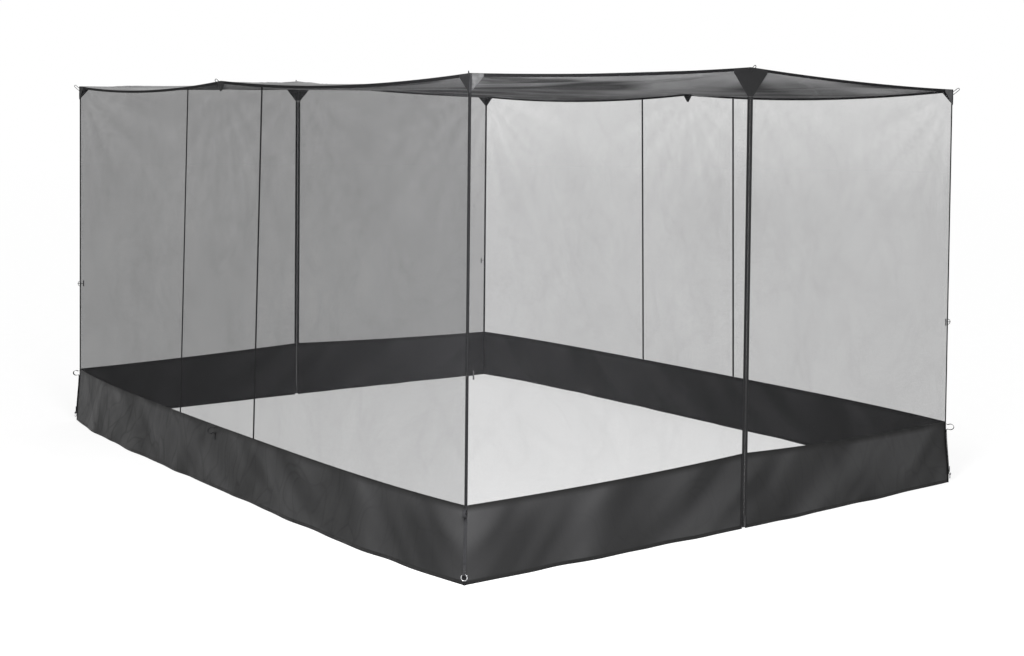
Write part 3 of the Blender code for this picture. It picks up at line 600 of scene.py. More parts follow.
def makeNet(name, wallName, low, high):
    wall, rows = walls[wallName], net["rows"]
    columns = max(8, round((high - low) / net["columnStep"]))

    def spot(column, row):
        along = low + (high - low) * column / columns
        foot = skirtTop(wall, along) + room["gap"] / 2
        top = edgeHeight(wall, along) - room["cloth"] / 2 - room["gap"]
        return along, foot + (top - foot) * row / rows

    def place(column, row):
        along, height = spot(column, row)
        return wallPoint(wall, along, height, netSway(wall, low, high, along, height))

    shape = newShape()
    addGrid(shape, columns, rows, place, spot)
    piece = makePiece(name + "_cloth", shape, [netMaterials[wallName]], stands=name, sharp=0)
    paint(piece, "taut", [netPull(wall, *spot(column, row)) for row in range(rows + 1)
                          for column in range(columns + 1)])


nearEnd, farEnd = room["nearEnd"], room["length"] - room["nearEnd"]
doorHalves = {"left": (nearEnd, halfWidth - room["doorEdge"]),
              "right": (halfWidth + room["doorEdge"], room["width"] - nearEnd)}
for side in ("left", "right"):
    firstSeam, secondSeam = (share * room["length"] for share in room["seamShares"].values())
    gap = room["gap"] / 2
    makeNet(f"{side}_mesh_front", side, nearEnd, firstSeam - gap)
    makeNet(f"{side}_mesh_middle", side, firstSeam + gap, secondSeam - gap)
    makeNet(f"{side}_mesh_rear", side, secondSeam + gap, farEnd)
for end in ("front", "rear"):
    for half, reach in doorHalves.items():
        makeNet(f"{end}_door_mesh_{half}", end, *reach)
print("net panels hung")


# Skirt: dark coated cloth with a folded hem and a flat seam along its top
skirt = {
    "colour": (0.008, 0.008, 0.0084), "pale": (0.034, 0.034, 0.035), "hemShade": (0.005, 0.005, 0.0052),
    "seam": (0.006, 0.006, 0.006), "roughness": 0.55, "specular": 0.16, "thickness": 0.0004,
    "threads": 1100.0, "step": 0.014, "rows": 20, "hemHeight": 0.013, "hemEdge": 0.0015, "groove": 0.0022,
    "seamHeight": 0.007, "hemLift": 0.0002, "hemWave": 0.0015,
}
pucker = {
    "side": 0.012, "sideFade": 0.07, "top": 0.03, "loop": 0.008, "loopFade": 0.05, "depth": 0.0009,
    "ridge": 0.0007, "zipReach": 0.07, "zipDepth": 0.0035, "zipSide": 0.017, "zipFade": 0.02,
}


def makeSkirtMaterial():
    material, tree, shader, place = newMaterial("skirt_cloth", skirt["roughness"], skirt["specular"])
    creases, fine = creasesAt(tree, place, 4.5, 0.7), creasesAt(tree, place, 12.0, -0.5)
    weave = useGroup(tree, weaveGroup, {"Map": place, "Threads": skirt["threads"]})
    # Painted light and shade: the colour runs paler and darker along broad slanted folds, from the same noise
    # that bumps them; the crease cloud adds random tone
    soft = vectorMath(tree, "MULTIPLY", {0: turnedMap(tree, place, 0.75), 1: (4.4, 1.3, 1.0)})
    broad = clouds(tree, soft, 1.0, 1.0, Distortion=0.5)
    tint = math2(tree, "ADD", ranged(tree, broad, 0.36, 0.66, 0, 0.85), scaled(tree, creases["Cloud"], 0.15),
                 clamp=True)
    colour = mixColour(tree, tint, skirt["colour"], skirt["pale"])
    # The map's height is measured up from the hem, and an attribute gives the seam's place
    rise, hemHeight = split(tree, place)["Y"], skirt["hemHeight"]
    # Painted shade: the band along the bottom, where the hem turns under, is coloured darker
    hemShade = ranged(tree, rise, hemHeight - skirt["hemEdge"], hemHeight, 1, 0)
    colour = mixColour(tree, hemShade, colour, skirt["hemShade"])
    groove = math2(tree, "COMPARE", rise, hemHeight)
    groove.node.inputs[2].default_value = skirt["groove"]
    for mask in (groove, painted(tree, "seam")):
        colour = mixColour(tree, mask, colour, skirt["seam"])
    feed(tree, shader, {
        "Base Color": colour, "Roughness": ranged(tree, fine["Height"], 0.3, 0.8, 0.44, 0.62),
    })
    addBumps(tree, shader, (broad, 0.016, 0.6), (fine["Height"], 0.0008, 0.3),
             (weave["Height"], 0.00015, 0.35))
    return material


skirtMaterial = makeSkirtMaterial()


def crumple(wall, low, high, along, height, top):
    # Fine puckers: strongest halfway up and near the zip, gone at the tapes
    side = min(along - low, high - along)
    hold = ease((side - pucker["side"]) / pucker["sideFade"]) * ease((top - height) / pucker["top"])
    middle = abs(along - wall["length"] / 2)
    if not wall["peak"]:
        hold *= ease((middle - pucker["loop"]) / pucker["loopFade"])
    seed = wall["out"][0] * 3.1 + wall["out"][1] * 5.7
    lean = along + height * 0.6
    ridge = 1 - abs(noise.noise(Vector((lean * 5.0, height * 2.0, seed)))) * 2
    bend = pucker["depth"] * noise.noise(Vector((lean * 4, height * 5, seed + 2)))
    bend += pucker["ridge"] * ridge * ridge
    if wall["peak"]:
        near = math.exp(-(middle / pucker["zipReach"]) ** 2)
        near *= ease((middle - pucker["zipSide"]) / pucker["zipFade"])
        bend += pucker["zipDepth"] * near * math.sin(height * 52 + 3 * math.sin(height * 21))
    return hold * bend


def makeSkirt(name, wallName, low, high):
    wall, rows = walls[wallName], skirt["rows"]
    columns = max(8, round((high - low) / skirt["step"]))

    def spot(column, row):
        along = low + (high - low) * column / columns
        top = skirtTop(wall, along) - room["gap"] / 2
        levels = {1: skirt["hemHeight"], rows - 1: top - skirt["seamHeight"]}
        return along, levels.get(row, top * row / rows)

    def place(column, row):
        along, height = spot(column, row)
        top = skirtTop(wall, along) - room["gap"] / 2
        point = wallPoint(wall, along, height, crumple(wall, low, high, along, height, top))
        if row == 0:
            wave = max(0, noise.noise(Vector((along * 6, *wall["out"]))))
            point.z = skirt["hemWave"] * wave + skirt["hemLift"]
        return point

    shape = newShape()
    addGrid(shape, columns, rows, place, spot)
    piece = makePiece(name + "_cloth", shape, [skirtMaterial], stands=name,
                      thickness=skirt["thickness"], sharp=0)
    paint(piece, "seam", [float(row > rows - 2) for row in range(rows + 1) for column in range(columns + 1)])


for side in ("left", "right"):
    makeSkirt(f"{side}_skirt", side, nearEnd, farEnd)
for end in ("front", "rear"):
    for half, reach in doorHalves.items():
        makeSkirt(f"{end}_skirt_{half}", end, *reach)
print("skirts hung")


# Roof: one sheet of coated cloth, pulled into folds by the eight ties
roof = {
    # Each face runs from its colour to its pale by the painted fold light and shade; the coating's bright
    # pale is painted light
    "top": {
        "colour": (0.075, 0.075, 0.078), "pale": (0.190, 0.191, 0.195), "roughness": 0.42, "specular": 0.5,
    },
    "under": {
        "colour": (0.044, 0.044, 0.045), "pale": (0.420, 0.421, 0.426), "roughness": 0.72, "specular": 0.05,
    },
    "columns": 150, "rows": 190, "flat": (2.78, 3.66), "thickness": 0.0004, "threads": 1100.0,
    "foldShadeShare": 0.85, "cloudShare": 0.2, "lineShare": 0.08, "creaseShare": 0.12,
}
# The folds that the ties pull: height and reach of broad and narrow ones, and the painted light and shade
# that they put into the cloth's colour
roofPull = {
    "tieStand": 0.02, "farthest": 2.6, "edge": 0.12, "sag": 0.008, "ripple": 0.003,
    "broad": {"folds": 7, "height": 0.010, "reach": 0.9, "clear": 0.30, "shade": 1.8},
    "narrow": {"folds": 19, "height": 0.004, "reach": 0.5, "clear": 0.15, "shade": 0.8},
    "shadeReach": 1.9, "shadeLevel": -0.42, "tieLight": 0.6, "strengths": {-1: 1.0, 0: 0.5, 1: 0.25},
}
tiePlaces = [(x, y) for x in (-1, 0, 1) for y in (-1, 0, 1) if (x, y) != (0, 0)]


def roofFold(across, down):
    # Returns the fold's height, and a painted light and shade for the cloth's colour: it follows the folds'
    # waves and is lighter near the strongest ties
    x, y = across * halfWidth, down * halfLength
    edge = min((1 - abs(across)) * halfWidth, (1 - abs(down)) * halfLength)
    fold = roofPull["sag"] * noise.noise(Vector((x * 1.1, y * 0.9, 4.2)))
    fold += roofPull["ripple"] * noise.noise(Vector((x * 3.3, y * 2.7, 1.7)))
    shade = 0.4 * noise.noise(Vector((x * 1.7, y * 1.2, 8.1))) + roofPull["shadeLevel"]
    for number, (a, b) in enumerate(tiePlaces):
        dx, dy = x - a * (halfWidth + roofPull["tieStand"]), y - b * (halfLength + roofPull["tieStand"])
        away, angle = math.hypot(dx, dy), math.atan2(dy, dx)
        if away > roofPull["farthest"]:
            continue
        wander = 0.5 * math.sin(2.3 * away + number)
        strength = roofPull["strengths"][a]
        foldShade = roofPull["tieLight"] * strength
        for kind, turn in (("broad", 2.1 * number + wander), ("narrow", 1.3 * number + 2 * wander)):
            size = roofPull[kind]
            wave = math.sin(size["folds"] * angle + turn)
            fade = math.exp(-(away / size["reach"]) ** 2) * ease(away / size["clear"])
            fold += size["height"] * wave * fade
            foldShade += size["shade"] * wave
        shade += strength * foldShade * math.exp(-(away / roofPull["shadeReach"]) ** 2)
    return fold * ease(edge / roofPull["edge"]), max(0, min(0.5 + 0.5 * shade, 1))


def roofPoint(across, down):
    offset = room["cloth"] / 2
    x = across * (halfWidth + offset + room["longBow"] * (1 - abs(down)))
    y = down * (halfLength + offset + room["shortBow"] * math.cos(math.pi * across / 2))
    ridge = room["peak"] * (1 - abs(across)) - room["shortSag"] * 4 * abs(across) * (1 - abs(across))
    ridge *= room["ridgeLeft"] + (1 - room["ridgeLeft"]) * down ** 2
    hang = -room["longSag"] * 4 * abs(down) * (1 - abs(down)) * across ** 4
    belly = -room["belly"] * (1 - across ** 2) * (1 - down ** 2)
    return Vector((x, y, room["height"] + ridge + hang + belly + roofFold(across, down)[0]))


def makeRoofMaterial(name, values):
    rough, spread = values["roughness"], roof["creaseShare"]
    material, tree, shader, place = newMaterial(name, rough, values["specular"])
    creases, fine = creasesAt(tree, place, 2.6, 0.8), creasesAt(tree, place, 9.0, -0.6)
    weave = useGroup(tree, weaveGroup, {"Map": place, "Threads": roof["threads"]})
    # Painted light and shade: crease ridges and fine crease lines are paler and their hollows darker; the
    # cloud is random tone; the ties' fold shade sets most of the colour
    wornAndCreaseShade = chained(tree, "ADD", scaled(tree, creases["Cloud"], roof["cloudShare"]),
                   scaled(tree, fine["Line"], roof["lineShare"]),
                   ranged(tree, creases["Height"], 0.35, 0.85, -spread, spread))
    tint = math2(tree, "ADD", scaled(tree, painted(tree, "foldShade"), roof["foldShadeShare"]), wornAndCreaseShade, clamp=True)
    feed(tree, shader, {
        "Base Color": mixColour(tree, tint, values["colour"], values["pale"]),
        "Roughness": ranged(tree, fine["Height"], 0.3, 0.8, rough - 0.08, rough + 0.1),
    })
    addBumps(tree, shader, (creases["Height"], 0.015, 0.5), (fine["Height"], 0.004, 0.4),
             (weave["Height"], 0.00015, 0.35))
    return material


def makeRoof():
    columns, rows = roof["columns"], roof["rows"]

    def shares(column, row):
        return 2 * column / columns - 1, 2 * row / rows - 1

    def mapOf(column, row):
        across, down = shares(column, row)
        return across * halfWidth, down * halfLength

    shape = newShape()
    addGrid(shape, columns, rows, lambda column, row: roofPoint(*shares(column, row)), mapOf)
    faces = [makeRoofMaterial("roof_cloth_top", roof["top"]),
             makeRoofMaterial("roof_cloth_coating", roof["under"])]
    piece = makePiece("roof_cloth_sheet", shape, faces, stands="roof_panel",
                      thickness=roof["thickness"], sharp=0)
    piece.modifiers["thickness"].material_offset = 1
    # Painted light and shade along the folds, which the colour of both faces follows
    paint(piece, "foldShade", [roofFold(*shares(column, row))[1] for row in range(rows + 1)
                            for column in range(columns + 1)])


makeRoof()
print("roof stretched")


# Tapes: black woven binding
tape = {
    "colour": (0.005, 0.005, 0.0055), "pale": (0.013, 0.013, 0.014), "cornerWidth": 0.006, "seamWidth": 0.012,
    "roofDrop": 0.010, "roofStand": 0.002, "crown": 0.0004, "cornerCrown": 0.0003, "cornerFold": 0.0003,
    "cornerLength": 1.79, "seamLength": 1.5,
}
thread = {"colour": (0.030, 0.030, 0.031), "pale": (0.05, 0.05, 0.052)}
stitches = {
    "patch": {"length": 0.0026, "spacing": 0.0036, "radius": 0.00032},
    "bartack": {"length": 0.0016, "spacing": 0.0021, "radius": 0.00028},
    "zip": {"length": 0.0024, "spacing": 0.0034, "radius": 0.00025},
}


def makeBandMaterial(name, values, ribs, strands, twist=0.0, roughness=0.75, relief=0.0003, specular=0.3):
    material, tree, shader, place = newMaterial(name, roughness, specular)
    pattern = useGroup(tree, ribGroup, {"Map": place, "Ribs": ribs, "Strands": strands, "Twist": twist})
    tint = scaled(tree, math2(tree, "ADD", pattern["Height"], pattern["Shade"]), 0.5)
    feed(tree, shader, {
        "Base Color": mixColour(tree, tint, values["colour"], values["pale"]),
        "Roughness": ranged(tree, pattern["Shade"], 0, 1, roughness - 0.08, roughness + 0.08),
    })
    addBumps(tree, shader, (pattern["Height"], relief, 0.8))
    return material


tapeMaterial = makeBandMaterial("tape_cloth", tape, 1200.0, 900.0, specular=0.1)
threadMaterial = makeBandMaterial("sewing_thread", thread, 2500.0, 0.0, twist=0.6)


def makeRoofBinding():
    # Over the roof's edge and down the wall, a little fuller in the middle
    stations = []
    for wallName, start, forward in (("front", "front_left", True), ("right", "front_right", True),
                                     ("rear", "rear_right", False), ("left", "rear_left", False)):
        wall = walls[wallName]
        count = 90 if wall["peak"] else 120
        stations.append((corners[start], None))
        for number in range(1, count):
            share = number / count if forward else 1 - number / count
            stations.append((wall, share * wall["length"]))
    total, rows = len(stations), 8

    def drop(row):
        return -tape["roofDrop"] + (tape["roofDrop"] + tape["roofStand"]) * row / rows

    def place(column, row):
        carrier, along = stations[column % total]
        offset = tapeOffset + tape["crown"] * math.sin(math.pi * row / rows)
        if along is None:
            return cornerPoint(carrier, room["height"] + drop(row), offset)
        return wallPoint(carrier, along, edgeHeight(carrier, along) + drop(row), offset)

    runs = runLengths([place(column, 0) for column in range(total + 1)])
    shape = newShape()
    addGrid(shape, total, rows, place, lambda column, row: (drop(row), runs[column]), ring=True)
    makePiece("roof_edge_binding", shape, [tapeMaterial], stands="roof_binding",
              thickness=room["tape"], sharp=0)


def makeSeamTape(name, wall, along):
    half, columns, rows = tape["seamWidth"] / 2, 6, 80
    foot = room["skirt"] + room["gap"] / 2

    def reach(column):
        return along + half * (2 * column / columns - 1)

    def place(column, row):
        top = edgeHeight(wall, reach(column)) - tape["roofDrop"] - room["gap"]
        crown = tape["crown"] * math.sin(math.pi * column / columns)
        return wallPoint(wall, reach(column), foot + (top - foot) * row / rows, tapeOffset + crown)

    shape = newShape()
    addGrid(shape, columns, rows, place, lambda column, row: (reach(column), row / rows * tape["seamLength"]))
    makePiece(name + "_band", shape, [tapeMaterial], stands=name, thickness=room["tape"], sharp=0)


def makeCornerBinding(name, corner):
    half, columns, rows = tape["cornerWidth"], 8, 120

    def reach(column):
        # From minus to plus: the first wall, the corner, the second wall
        return half * (2 * column / columns - 1)

    def place(column, row):
        away = abs(reach(column))
        offset = tapeOffset + tape["cornerCrown"] * math.sin(math.pi * away / half)
        if 2 * column == columns:
            top = room["height"] - tape["roofDrop"] - room["gap"]
            return cornerPoint(corner, top * row / rows, offset - tape["cornerFold"])
        wallName = corner["walls"][0 if reach(column) < 0 else 1]
        wall, along = walls[wallName], alongFrom(corner, wallName, away)
        top = edgeHeight(wall, along) - tape["roofDrop"] - room["gap"]
        return wallPoint(wall, along, top * row / rows, offset)

    shape = newShape()
    addGrid(shape, columns, rows, place,
            lambda column, row: (reach(column), tape["cornerLength"] * row / rows))
    makePiece(name + "_fold", shape, [tapeMaterial], stands=name, thickness=room["tape"])


makeRoofBinding()
for side in ("left", "right"):
    for where, share in room["seamShares"].items():
        makeSeamTape(f"{side}_seam_tape_{where}", walls[side], share * room["length"])
print("tapes sewn")


# Webbing, ties and cords
strap = {
    "colour": (0.007, 0.007, 0.008), "pale": (0.024, 0.024, 0.026), "width": 0.012, "thick": 0.0015,
    "offset": 0.00105, "eyeHeight": 0.040, "eyeRadius": 0.0041, "eyeNeck": 2.4, "eyeStart": math.radians(50),
    "tail": 0.030, "reach": 0.034, "halfHeight": 0.0130, "drop": 0.024, "loopTail": 0.030,
    "loopTurn": math.radians(130), "seatShares": (0.35, 0.68), "tackHalf": 0.34, "tackHeight": 0.0045,
    "tackStand": 0.0001, "tailTacks": (0.007, 0.019), "upperTack": 0.020, "upperSink": 0.0008,
    "loopTacks": (-0.0085, 0.0045),
}
cord = {
    "colour": (0.006, 0.006, 0.006), "pale": (0.016, 0.016, 0.017), "diameter": 0.0030, "strandShare": 0.52,
    "lay": 0.011, "step": 0.0009,
}
tie = {
    "colour": (0.006, 0.006, 0.0065), "pale": (0.016, 0.016, 0.017), "reach": 0.058, "drop": 0.070,
    "tip": 0.010, "stand": 0.001, "loopWidth": 0.0105, "loopLength": 0.026, "loopDrop": 0.014, "seat": 0.0004,
    "foot": 0.0025, "rise": math.radians(40), "strapHalf": 0.009, "strapRise": 0.0006, "pucker": 0.0006,
    "puckerEdge": 0.006, "stitchStand": 0.0005, "stitchInside": 0.0035,
}
# Painted reflection: the wing on each corner patch's door wall is coloured paler than the cloth
wingReflection = {"colour": (0.030, 0.030, 0.031), "pale": (0.110, 0.110, 0.113)}
sidePatch = {"width": 0.060, "drop": 0.046, "foot": 0.012, "tip": 0.012}
peakPatch = {"width": 0.190, "drop": 0.115, "foot": 0.031, "tip": 0.016}

strapMaterial = makeBandMaterial("webbing", strap, 620.0, 850.0, relief=0.0005, specular=0.15)
cordMaterial = makeBandMaterial("braided_cord", cord, 900.0, 0.0, twist=1.2)
patchMaterial = makeBandMaterial("patch_cloth", tie, 1500.0, 1500.0, roughness=0.6, relief=0.0002,
                                 specular=0.2)
wingReflectionMaterial = makeBandMaterial("tie_wing_painted_reflection", wingReflection, 150.0, 40.0, twist=0.9, roughness=0.6, relief=0.0006)


def arcPoints(centre, radii, start, end, steps):
    turns = [start + (end - start) * number / steps for number in range(steps + 1)]
    return [(centre[0] + radii[0] * math.cos(turn), centre[1] + radii[1] * math.sin(turn)) for turn in turns]


def addCord(shape, path):
    # Three strands laid round each other
    points = pointsAlong(path, max(2, round(runLengths(path)[-1] / cord["step"])))
    runs = runLengths(points)
    radius = cord["diameter"] / 2
    strand = radius * cord["strandShare"]
    across, frames = None, []
    for number, spot in enumerate(points):
        tangent = (points[min(number + 1, len(points) - 1)] - points[max(number - 1, 0)]).normalized()
        if across is None:
            across = tangent.cross(Vector((0.3, 0.5, 0.8)))
        across = (across - tangent * across.dot(tangent)).normalized()
        frames.append((spot, across, across.cross(tangent)))
    for place in range(3):
        line = []
        for (spot, first, second), run in zip(frames, runs):
            angle = math.tau * (run / cord["lay"] + place / 3)
            line.append(spot + (first * math.cos(angle) + second * math.sin(angle)) * (radius - strand))
        addSweep(shape, line, roundSection(strand, 6))


def loopPath(seat, out):
    # Out of the seam, round a bend and back
    along = out * math.cos(tie["rise"]) + up * math.sin(tie["rise"])
    across = up * math.cos(tie["rise"]) - out * math.sin(tie["rise"])
    half = tie["loopWidth"] / 2
    foot = up * (half / math.cos(tie["rise"]))
    bend = seat + out * tie["foot"]
    arc = [bend + along * reach + across * side
           for side, reach in arcPoints((0, tie["loopLength"]), (half, half), 0, math.pi, 16)]
    return [seat + foot, bend + foot, *arc, bend - foot, seat - foot]


def addPatch(shape, outline, columns, rows, strapHalf=0.0):
    # outline lists (top, bottom) pairs of points across the patch; a strap may run down its middle
    starts = runLengths([top for top, _ in outline])
    total = starts[-1]

    def pair(run):
        part, share = partAt(starts, run)
        return [outline[part][k].lerp(outline[part + 1][k], share) for k in (0, 1)]

    def outward(run):
        part, _ = partAt(starts, run)
        normal = (outline[part + 1][0] - outline[part][0]).cross(up).normalized()
        return normal if normal.dot(outline[part][0]) > 0 else -normal

    def spot(run, share):
        high, low = pair(run)
        tall = (high - low).length
        edge = min(run, total - run, share * tall, (1 - share) * tall)
        wave = 1 + noise.noise(Vector((run * 90, share * 3, total * 40)))
        stand = tie["pucker"] * wave * ease(edge / tie["puckerEdge"])
        if strapHalf:
            rise = tie["strapRise"]
            stand += rise * ease((strapHalf + rise - abs(run - total / 2)) / (2 * rise))
        return low.lerp(high, share) + outward(run) * stand

    def mapOf(column, row):
        run = total * column / columns
        high, low = pair(run)
        return run, low.lerp(high, row / rows).z

    addGrid(shape, columns, rows, lambda column, row: spot(total * column / columns, row / rows), mapOf)
    return spot, outward, pair, total


def makeTieLoop(name, patch, columns, seat, out):
    # One row of stitches inside the patch's edge, and the laid cord loop
    spot, outward, pair, total = patch
    inside = tie["stitchInside"]
    runs = [inside + (total - 2 * inside) * number / columns for number in range(columns + 1)]
    shape = newShape()
    for upper in (False, True):
        line = []
        for run in runs:
            high, low = pair(run)
            share = min(0.45, inside / (high - low).length * 1.6)
            line.append(spot(run, 1 - share if upper else share) + outward(run) * tie["stitchStand"])
        addStitches(shape, line, [outward(run) for run in runs], stitches["patch"], 1)
    addCord(shape, loopPath(seat - out * tie["seat"], out))
    makePiece(name + "_loop", shape, [cordMaterial, threadMaterial], sharp=50)


def makeCornerTie(name, corner):
    outline = []
    for place in (-1, 0, 1):
        high = cornerPoint(corner, room["height"] + tie["stand"], patchOffset)
        if place:
            wallName = corner["walls"][0 if place < 0 else 1]
            wall, along = walls[wallName], alongFrom(corner, wallName, tie["reach"])
            high = wallPoint(wall, along, edgeHeight(wall, along) + tie["stand"], patchOffset)
        outline.append((high, high - up * tie["tip" if place else "drop"]))
    shape, columns = newShape(), 58
    patch = addPatch(shape, outline, columns, 18, tie["strapHalf"])
    # The strap down the middle, a plain dark wing on the long wall, and a paler wing on the door wall, whose
    # paleness is a painted reflection
    total = patch[-1]
    for number in range(len(shape["slots"])):
        share = (number % columns + 0.5) / columns - 0.5
        shape["slots"][number] = 1 if abs(share) * total < tie["strapHalf"] else 2 if share < 0 else 0
    makePiece(name + "_patch", shape, [wingReflectionMaterial, strapMaterial, patchMaterial], stands=name,
              thickness=room["patch"])
    edge = cornerPoint(corner, room["height"] - tie["loopDrop"], patchOffset + room["patch"] / 2)
    makeTieLoop(name, patch, 40, edge, diagonal(corner))


def makeMiddleTie(name, wall, size):
    middle = wall["length"] / 2
    peak = edgeHeight(wall, middle) + tie["stand"]
    outline = []
    for reach, drop in ((-size["width"], size["tip"]), (-size["foot"], size["drop"]),
                        (size["foot"], size["drop"]), (size["width"], size["tip"])):
        along = middle + reach / 2
        high = edgeHeight(wall, along) + tie["stand"]
        low = peak - drop if drop == size["drop"] else high - drop
        outline.append((wallPoint(wall, along, high, patchOffset), wallPoint(wall, along, low, patchOffset)))
    shape = newShape()
    patch = addPatch(shape, outline, 42, 16)
    makePiece(name + "_patch", shape, [patchMaterial], stands=name, thickness=room["patch"])
    face = wallPoint(wall, middle, peak - tie["loopDrop"], patchOffset + room["patch"] / 2)
    makeTieLoop(name, patch, 46, face, Vector((*wall["out"], 0)))


def strapLine(height):
    return math.sqrt(2) * (cornerFlare(height) + tapeOffset + room["tape"] / 2) + strap["offset"]


def loopProfile(lineOf):
    middle = room["skirt"] - strap["drop"]
    centre = (lineOf(middle) + strap["reach"] / 2, middle)
    radii = (strap["reach"] / 2 - strap["thick"] / 2, strap["halfHeight"])
    low, high, turn = middle - strap["halfHeight"], middle + strap["halfHeight"], strap["loopTurn"]
    return [(lineOf(low), low), *arcPoints(centre, radii, -turn, turn, 30), (lineOf(high), high)]


def addBartack(shape, place, side, rise, out):
    # A box of stitches with a cross, which holds a strap down
    half, tall = strap["width"] * strap["tackHalf"], strap["tackHeight"]
    a, b, c, d = (place + side * x + rise * y + out * strap["tackStand"]
                  for x, y in ((-half, -tall), (half, -tall), (half, tall), (-half, tall)))
    for line in ((a, b, c, d, a), (a, c), (b, d)):
        addStitches(shape, line, [out] * len(line), stitches["bartack"], 1)


def cornerFrame(corner):
    # The corner's foot, the way out of the room and the way across it
    out = diagonal(corner)
    base = Vector((corner["signs"][0] * halfWidth, corner["signs"][1] * halfLength, 0))
    return base, out, Vector((-out.y, out.x, 0))


def makeCornerStrap(name, corner):
    base, out, side = cornerFrame(corner)
    line, eyeTop = strapLine(strap["eyeHeight"]), strap["eyeHeight"] + strap["eyeRadius"]
    tail, tailTop = line + strap["thick"] + room["gap"], eyeTop + strap["tail"]
    profile = [(tail, tailTop), (tail, strap["eyeHeight"] + strap["eyeRadius"] * strap["eyeNeck"])]
    profile += arcPoints((line + strap["eyeRadius"], strap["eyeHeight"]), (strap["eyeRadius"],) * 2,
                         strap["eyeStart"], -math.pi, 22)
    profile += [(strapLine(share * room["skirt"]), share * room["skirt"]) for share in strap["seatShares"]]
    profile += loopProfile(strapLine)
    shape = newShape()
    addSweep(shape, [base + out * reach + up * height for reach, height in profile],
             bandSection(strap["width"], strap["thick"]), side)
    places = [(tail + strap["thick"] / 2, tailTop - drop) for drop in strap["tailTacks"]]
    places.append((strapLine(room["skirt"]) + strap["thick"] / 2 - strap["upperSink"],
                   room["skirt"] - strap["drop"] - strap["upperTack"]))
    for reach, height in places:
        addBartack(shape, base + out * reach + up * height, side, up, out)
    makePiece(name + "_band", shape, [strapMaterial, threadMaterial], stands=name)


def makeSideLoop(name, wall):
    middle = wall["length"] / 2
    out, side = Vector((*wall["out"], 0)), Vector((*wall["along"], 0))
    profile = loopProfile(lambda _: room["cloth"] / 2 + strap["offset"])
    profile.insert(0, (profile[0][0], profile[0][1] - strap["loopTail"]))
    path = [wallPoint(wall, middle, height) + out * reach for reach, height in profile]
    shape = newShape()
    addSweep(shape, path, bandSection(strap["width"], strap["thick"]), side)
    rise = (path[1] - path[0]).normalized()
    face = path[0].lerp(path[1], 0.5) + out * (strap["thick"] / 2)
    for shift in strap["loopTacks"]:
        addBartack(shape, face + rise * shift, side, rise, out)
    makePiece(name + "_band", shape, [strapMaterial, threadMaterial], stands=name)


for cornerName, corner in corners.items():
    makeCornerBinding(f"{cornerName}_binding", corner)
    makeCornerTie(f"{cornerName}_tie", corner)
    makeCornerStrap(f"{cornerName}_strap", corner)
for side in ("left", "right"):
    makeMiddleTie(f"{side}_middle_tie", walls[side], sidePatch)
    makeSideLoop(f"{side}_skirt_loop", walls[side])
for end in ("front", "rear"):
    makeMiddleTie(f"{end}_peak_tie", walls[end], peakPatch)
print("ties and straps sewn")


# Peg rings and toggles
ring = {
    "colour": (0.30, 0.30, 0.31), "pale": (0.62, 0.62, 0.63), "radius": 0.0110, "wire": 0.0015,
    "lift": 0.0004, "steps": 96, "weld": 0.10, "weldWidth": 1.6, "neck": 0.05, "neckPlace": 3.2,
}
toggle = {
    "colour": (0.010, 0.010, 0.011), "pale": (0.022, 0.022, 0.024), "height": 0.74, "reach": 0.030,
    "bar": 0.032, "radius": 0.0032, "waist": 0.0025, "endShare": 0.7, "stem": 0.0014, "stemFlare": 0.35,
    "eye": 0.0031, "wire": 0.0009, "stand": 0.0075, "cordStand": 0.0075, "cordHalf": 0.0120,
}


def makeSolidMaterial(name, values, roughness, metallic, grain):
    # Cast or drawn stuff: fine grain with worn, paler patches
    material, tree, shader, _ = newMaterial(name, roughness, metallic=metallic)
    spot = addNode(tree, "ShaderNodeTexCoord").outputs["Object"]
    fine, wornAndCreaseShade = clouds(tree, spot, grain, 4.0), clouds(tree, spot, grain / 6, 3.0)
    tint = ranged(tree, math2(tree, "ADD", fine, wornAndCreaseShade), 0.8, 1.25)
    feed(tree, shader, {
        "Base Color": mixColour(tree, tint, values["colour"], values["pale"]),
        "Roughness": ranged(tree, wornAndCreaseShade, 0.3, 0.7, roughness - 0.1, roughness + 0.12),
    })
    addBumps(tree, shader, (fine, 0.00008, 0.5))
    return material


ringMaterial = makeSolidMaterial("plated_steel", ring, 0.32, 0.9, 1400.0)
plasticMaterial = makeSolidMaterial("moulded_plastic", toggle, 0.5, 0.0, 2600.0)


def makeRing(name, corner):
    # Bent round wire, butt-welded at the top, where the webbing covers it
    base, out, side = cornerFrame(corner)
    pivot = base + out * (strapLine(strap["eyeHeight"]) + strap["eyeRadius"]) + up * strap["eyeHeight"]
    centre = pivot + up * (ring["lift"] - ring["radius"])
    steps = ring["steps"]
    path = [centre + side * x + up * z for z, x in roundSection(ring["radius"], steps)]
    sizes = []
    for away in (min(number, steps - number) for number in range(steps)):
        weld = ring["weld"] * math.exp(-(away / ring["weldWidth"]) ** 2)
        sizes.append(1 + weld - ring["neck"] * math.exp(-(away - ring["neckPlace"]) ** 2))
    shape = newShape()
    addSweep(shape, path, roundSection(ring["wire"], 16), ring=True, side=out, sizes=sizes)
    makePiece(name + "_wire", shape, [ringMaterial], stands=name, body=name + "_body")


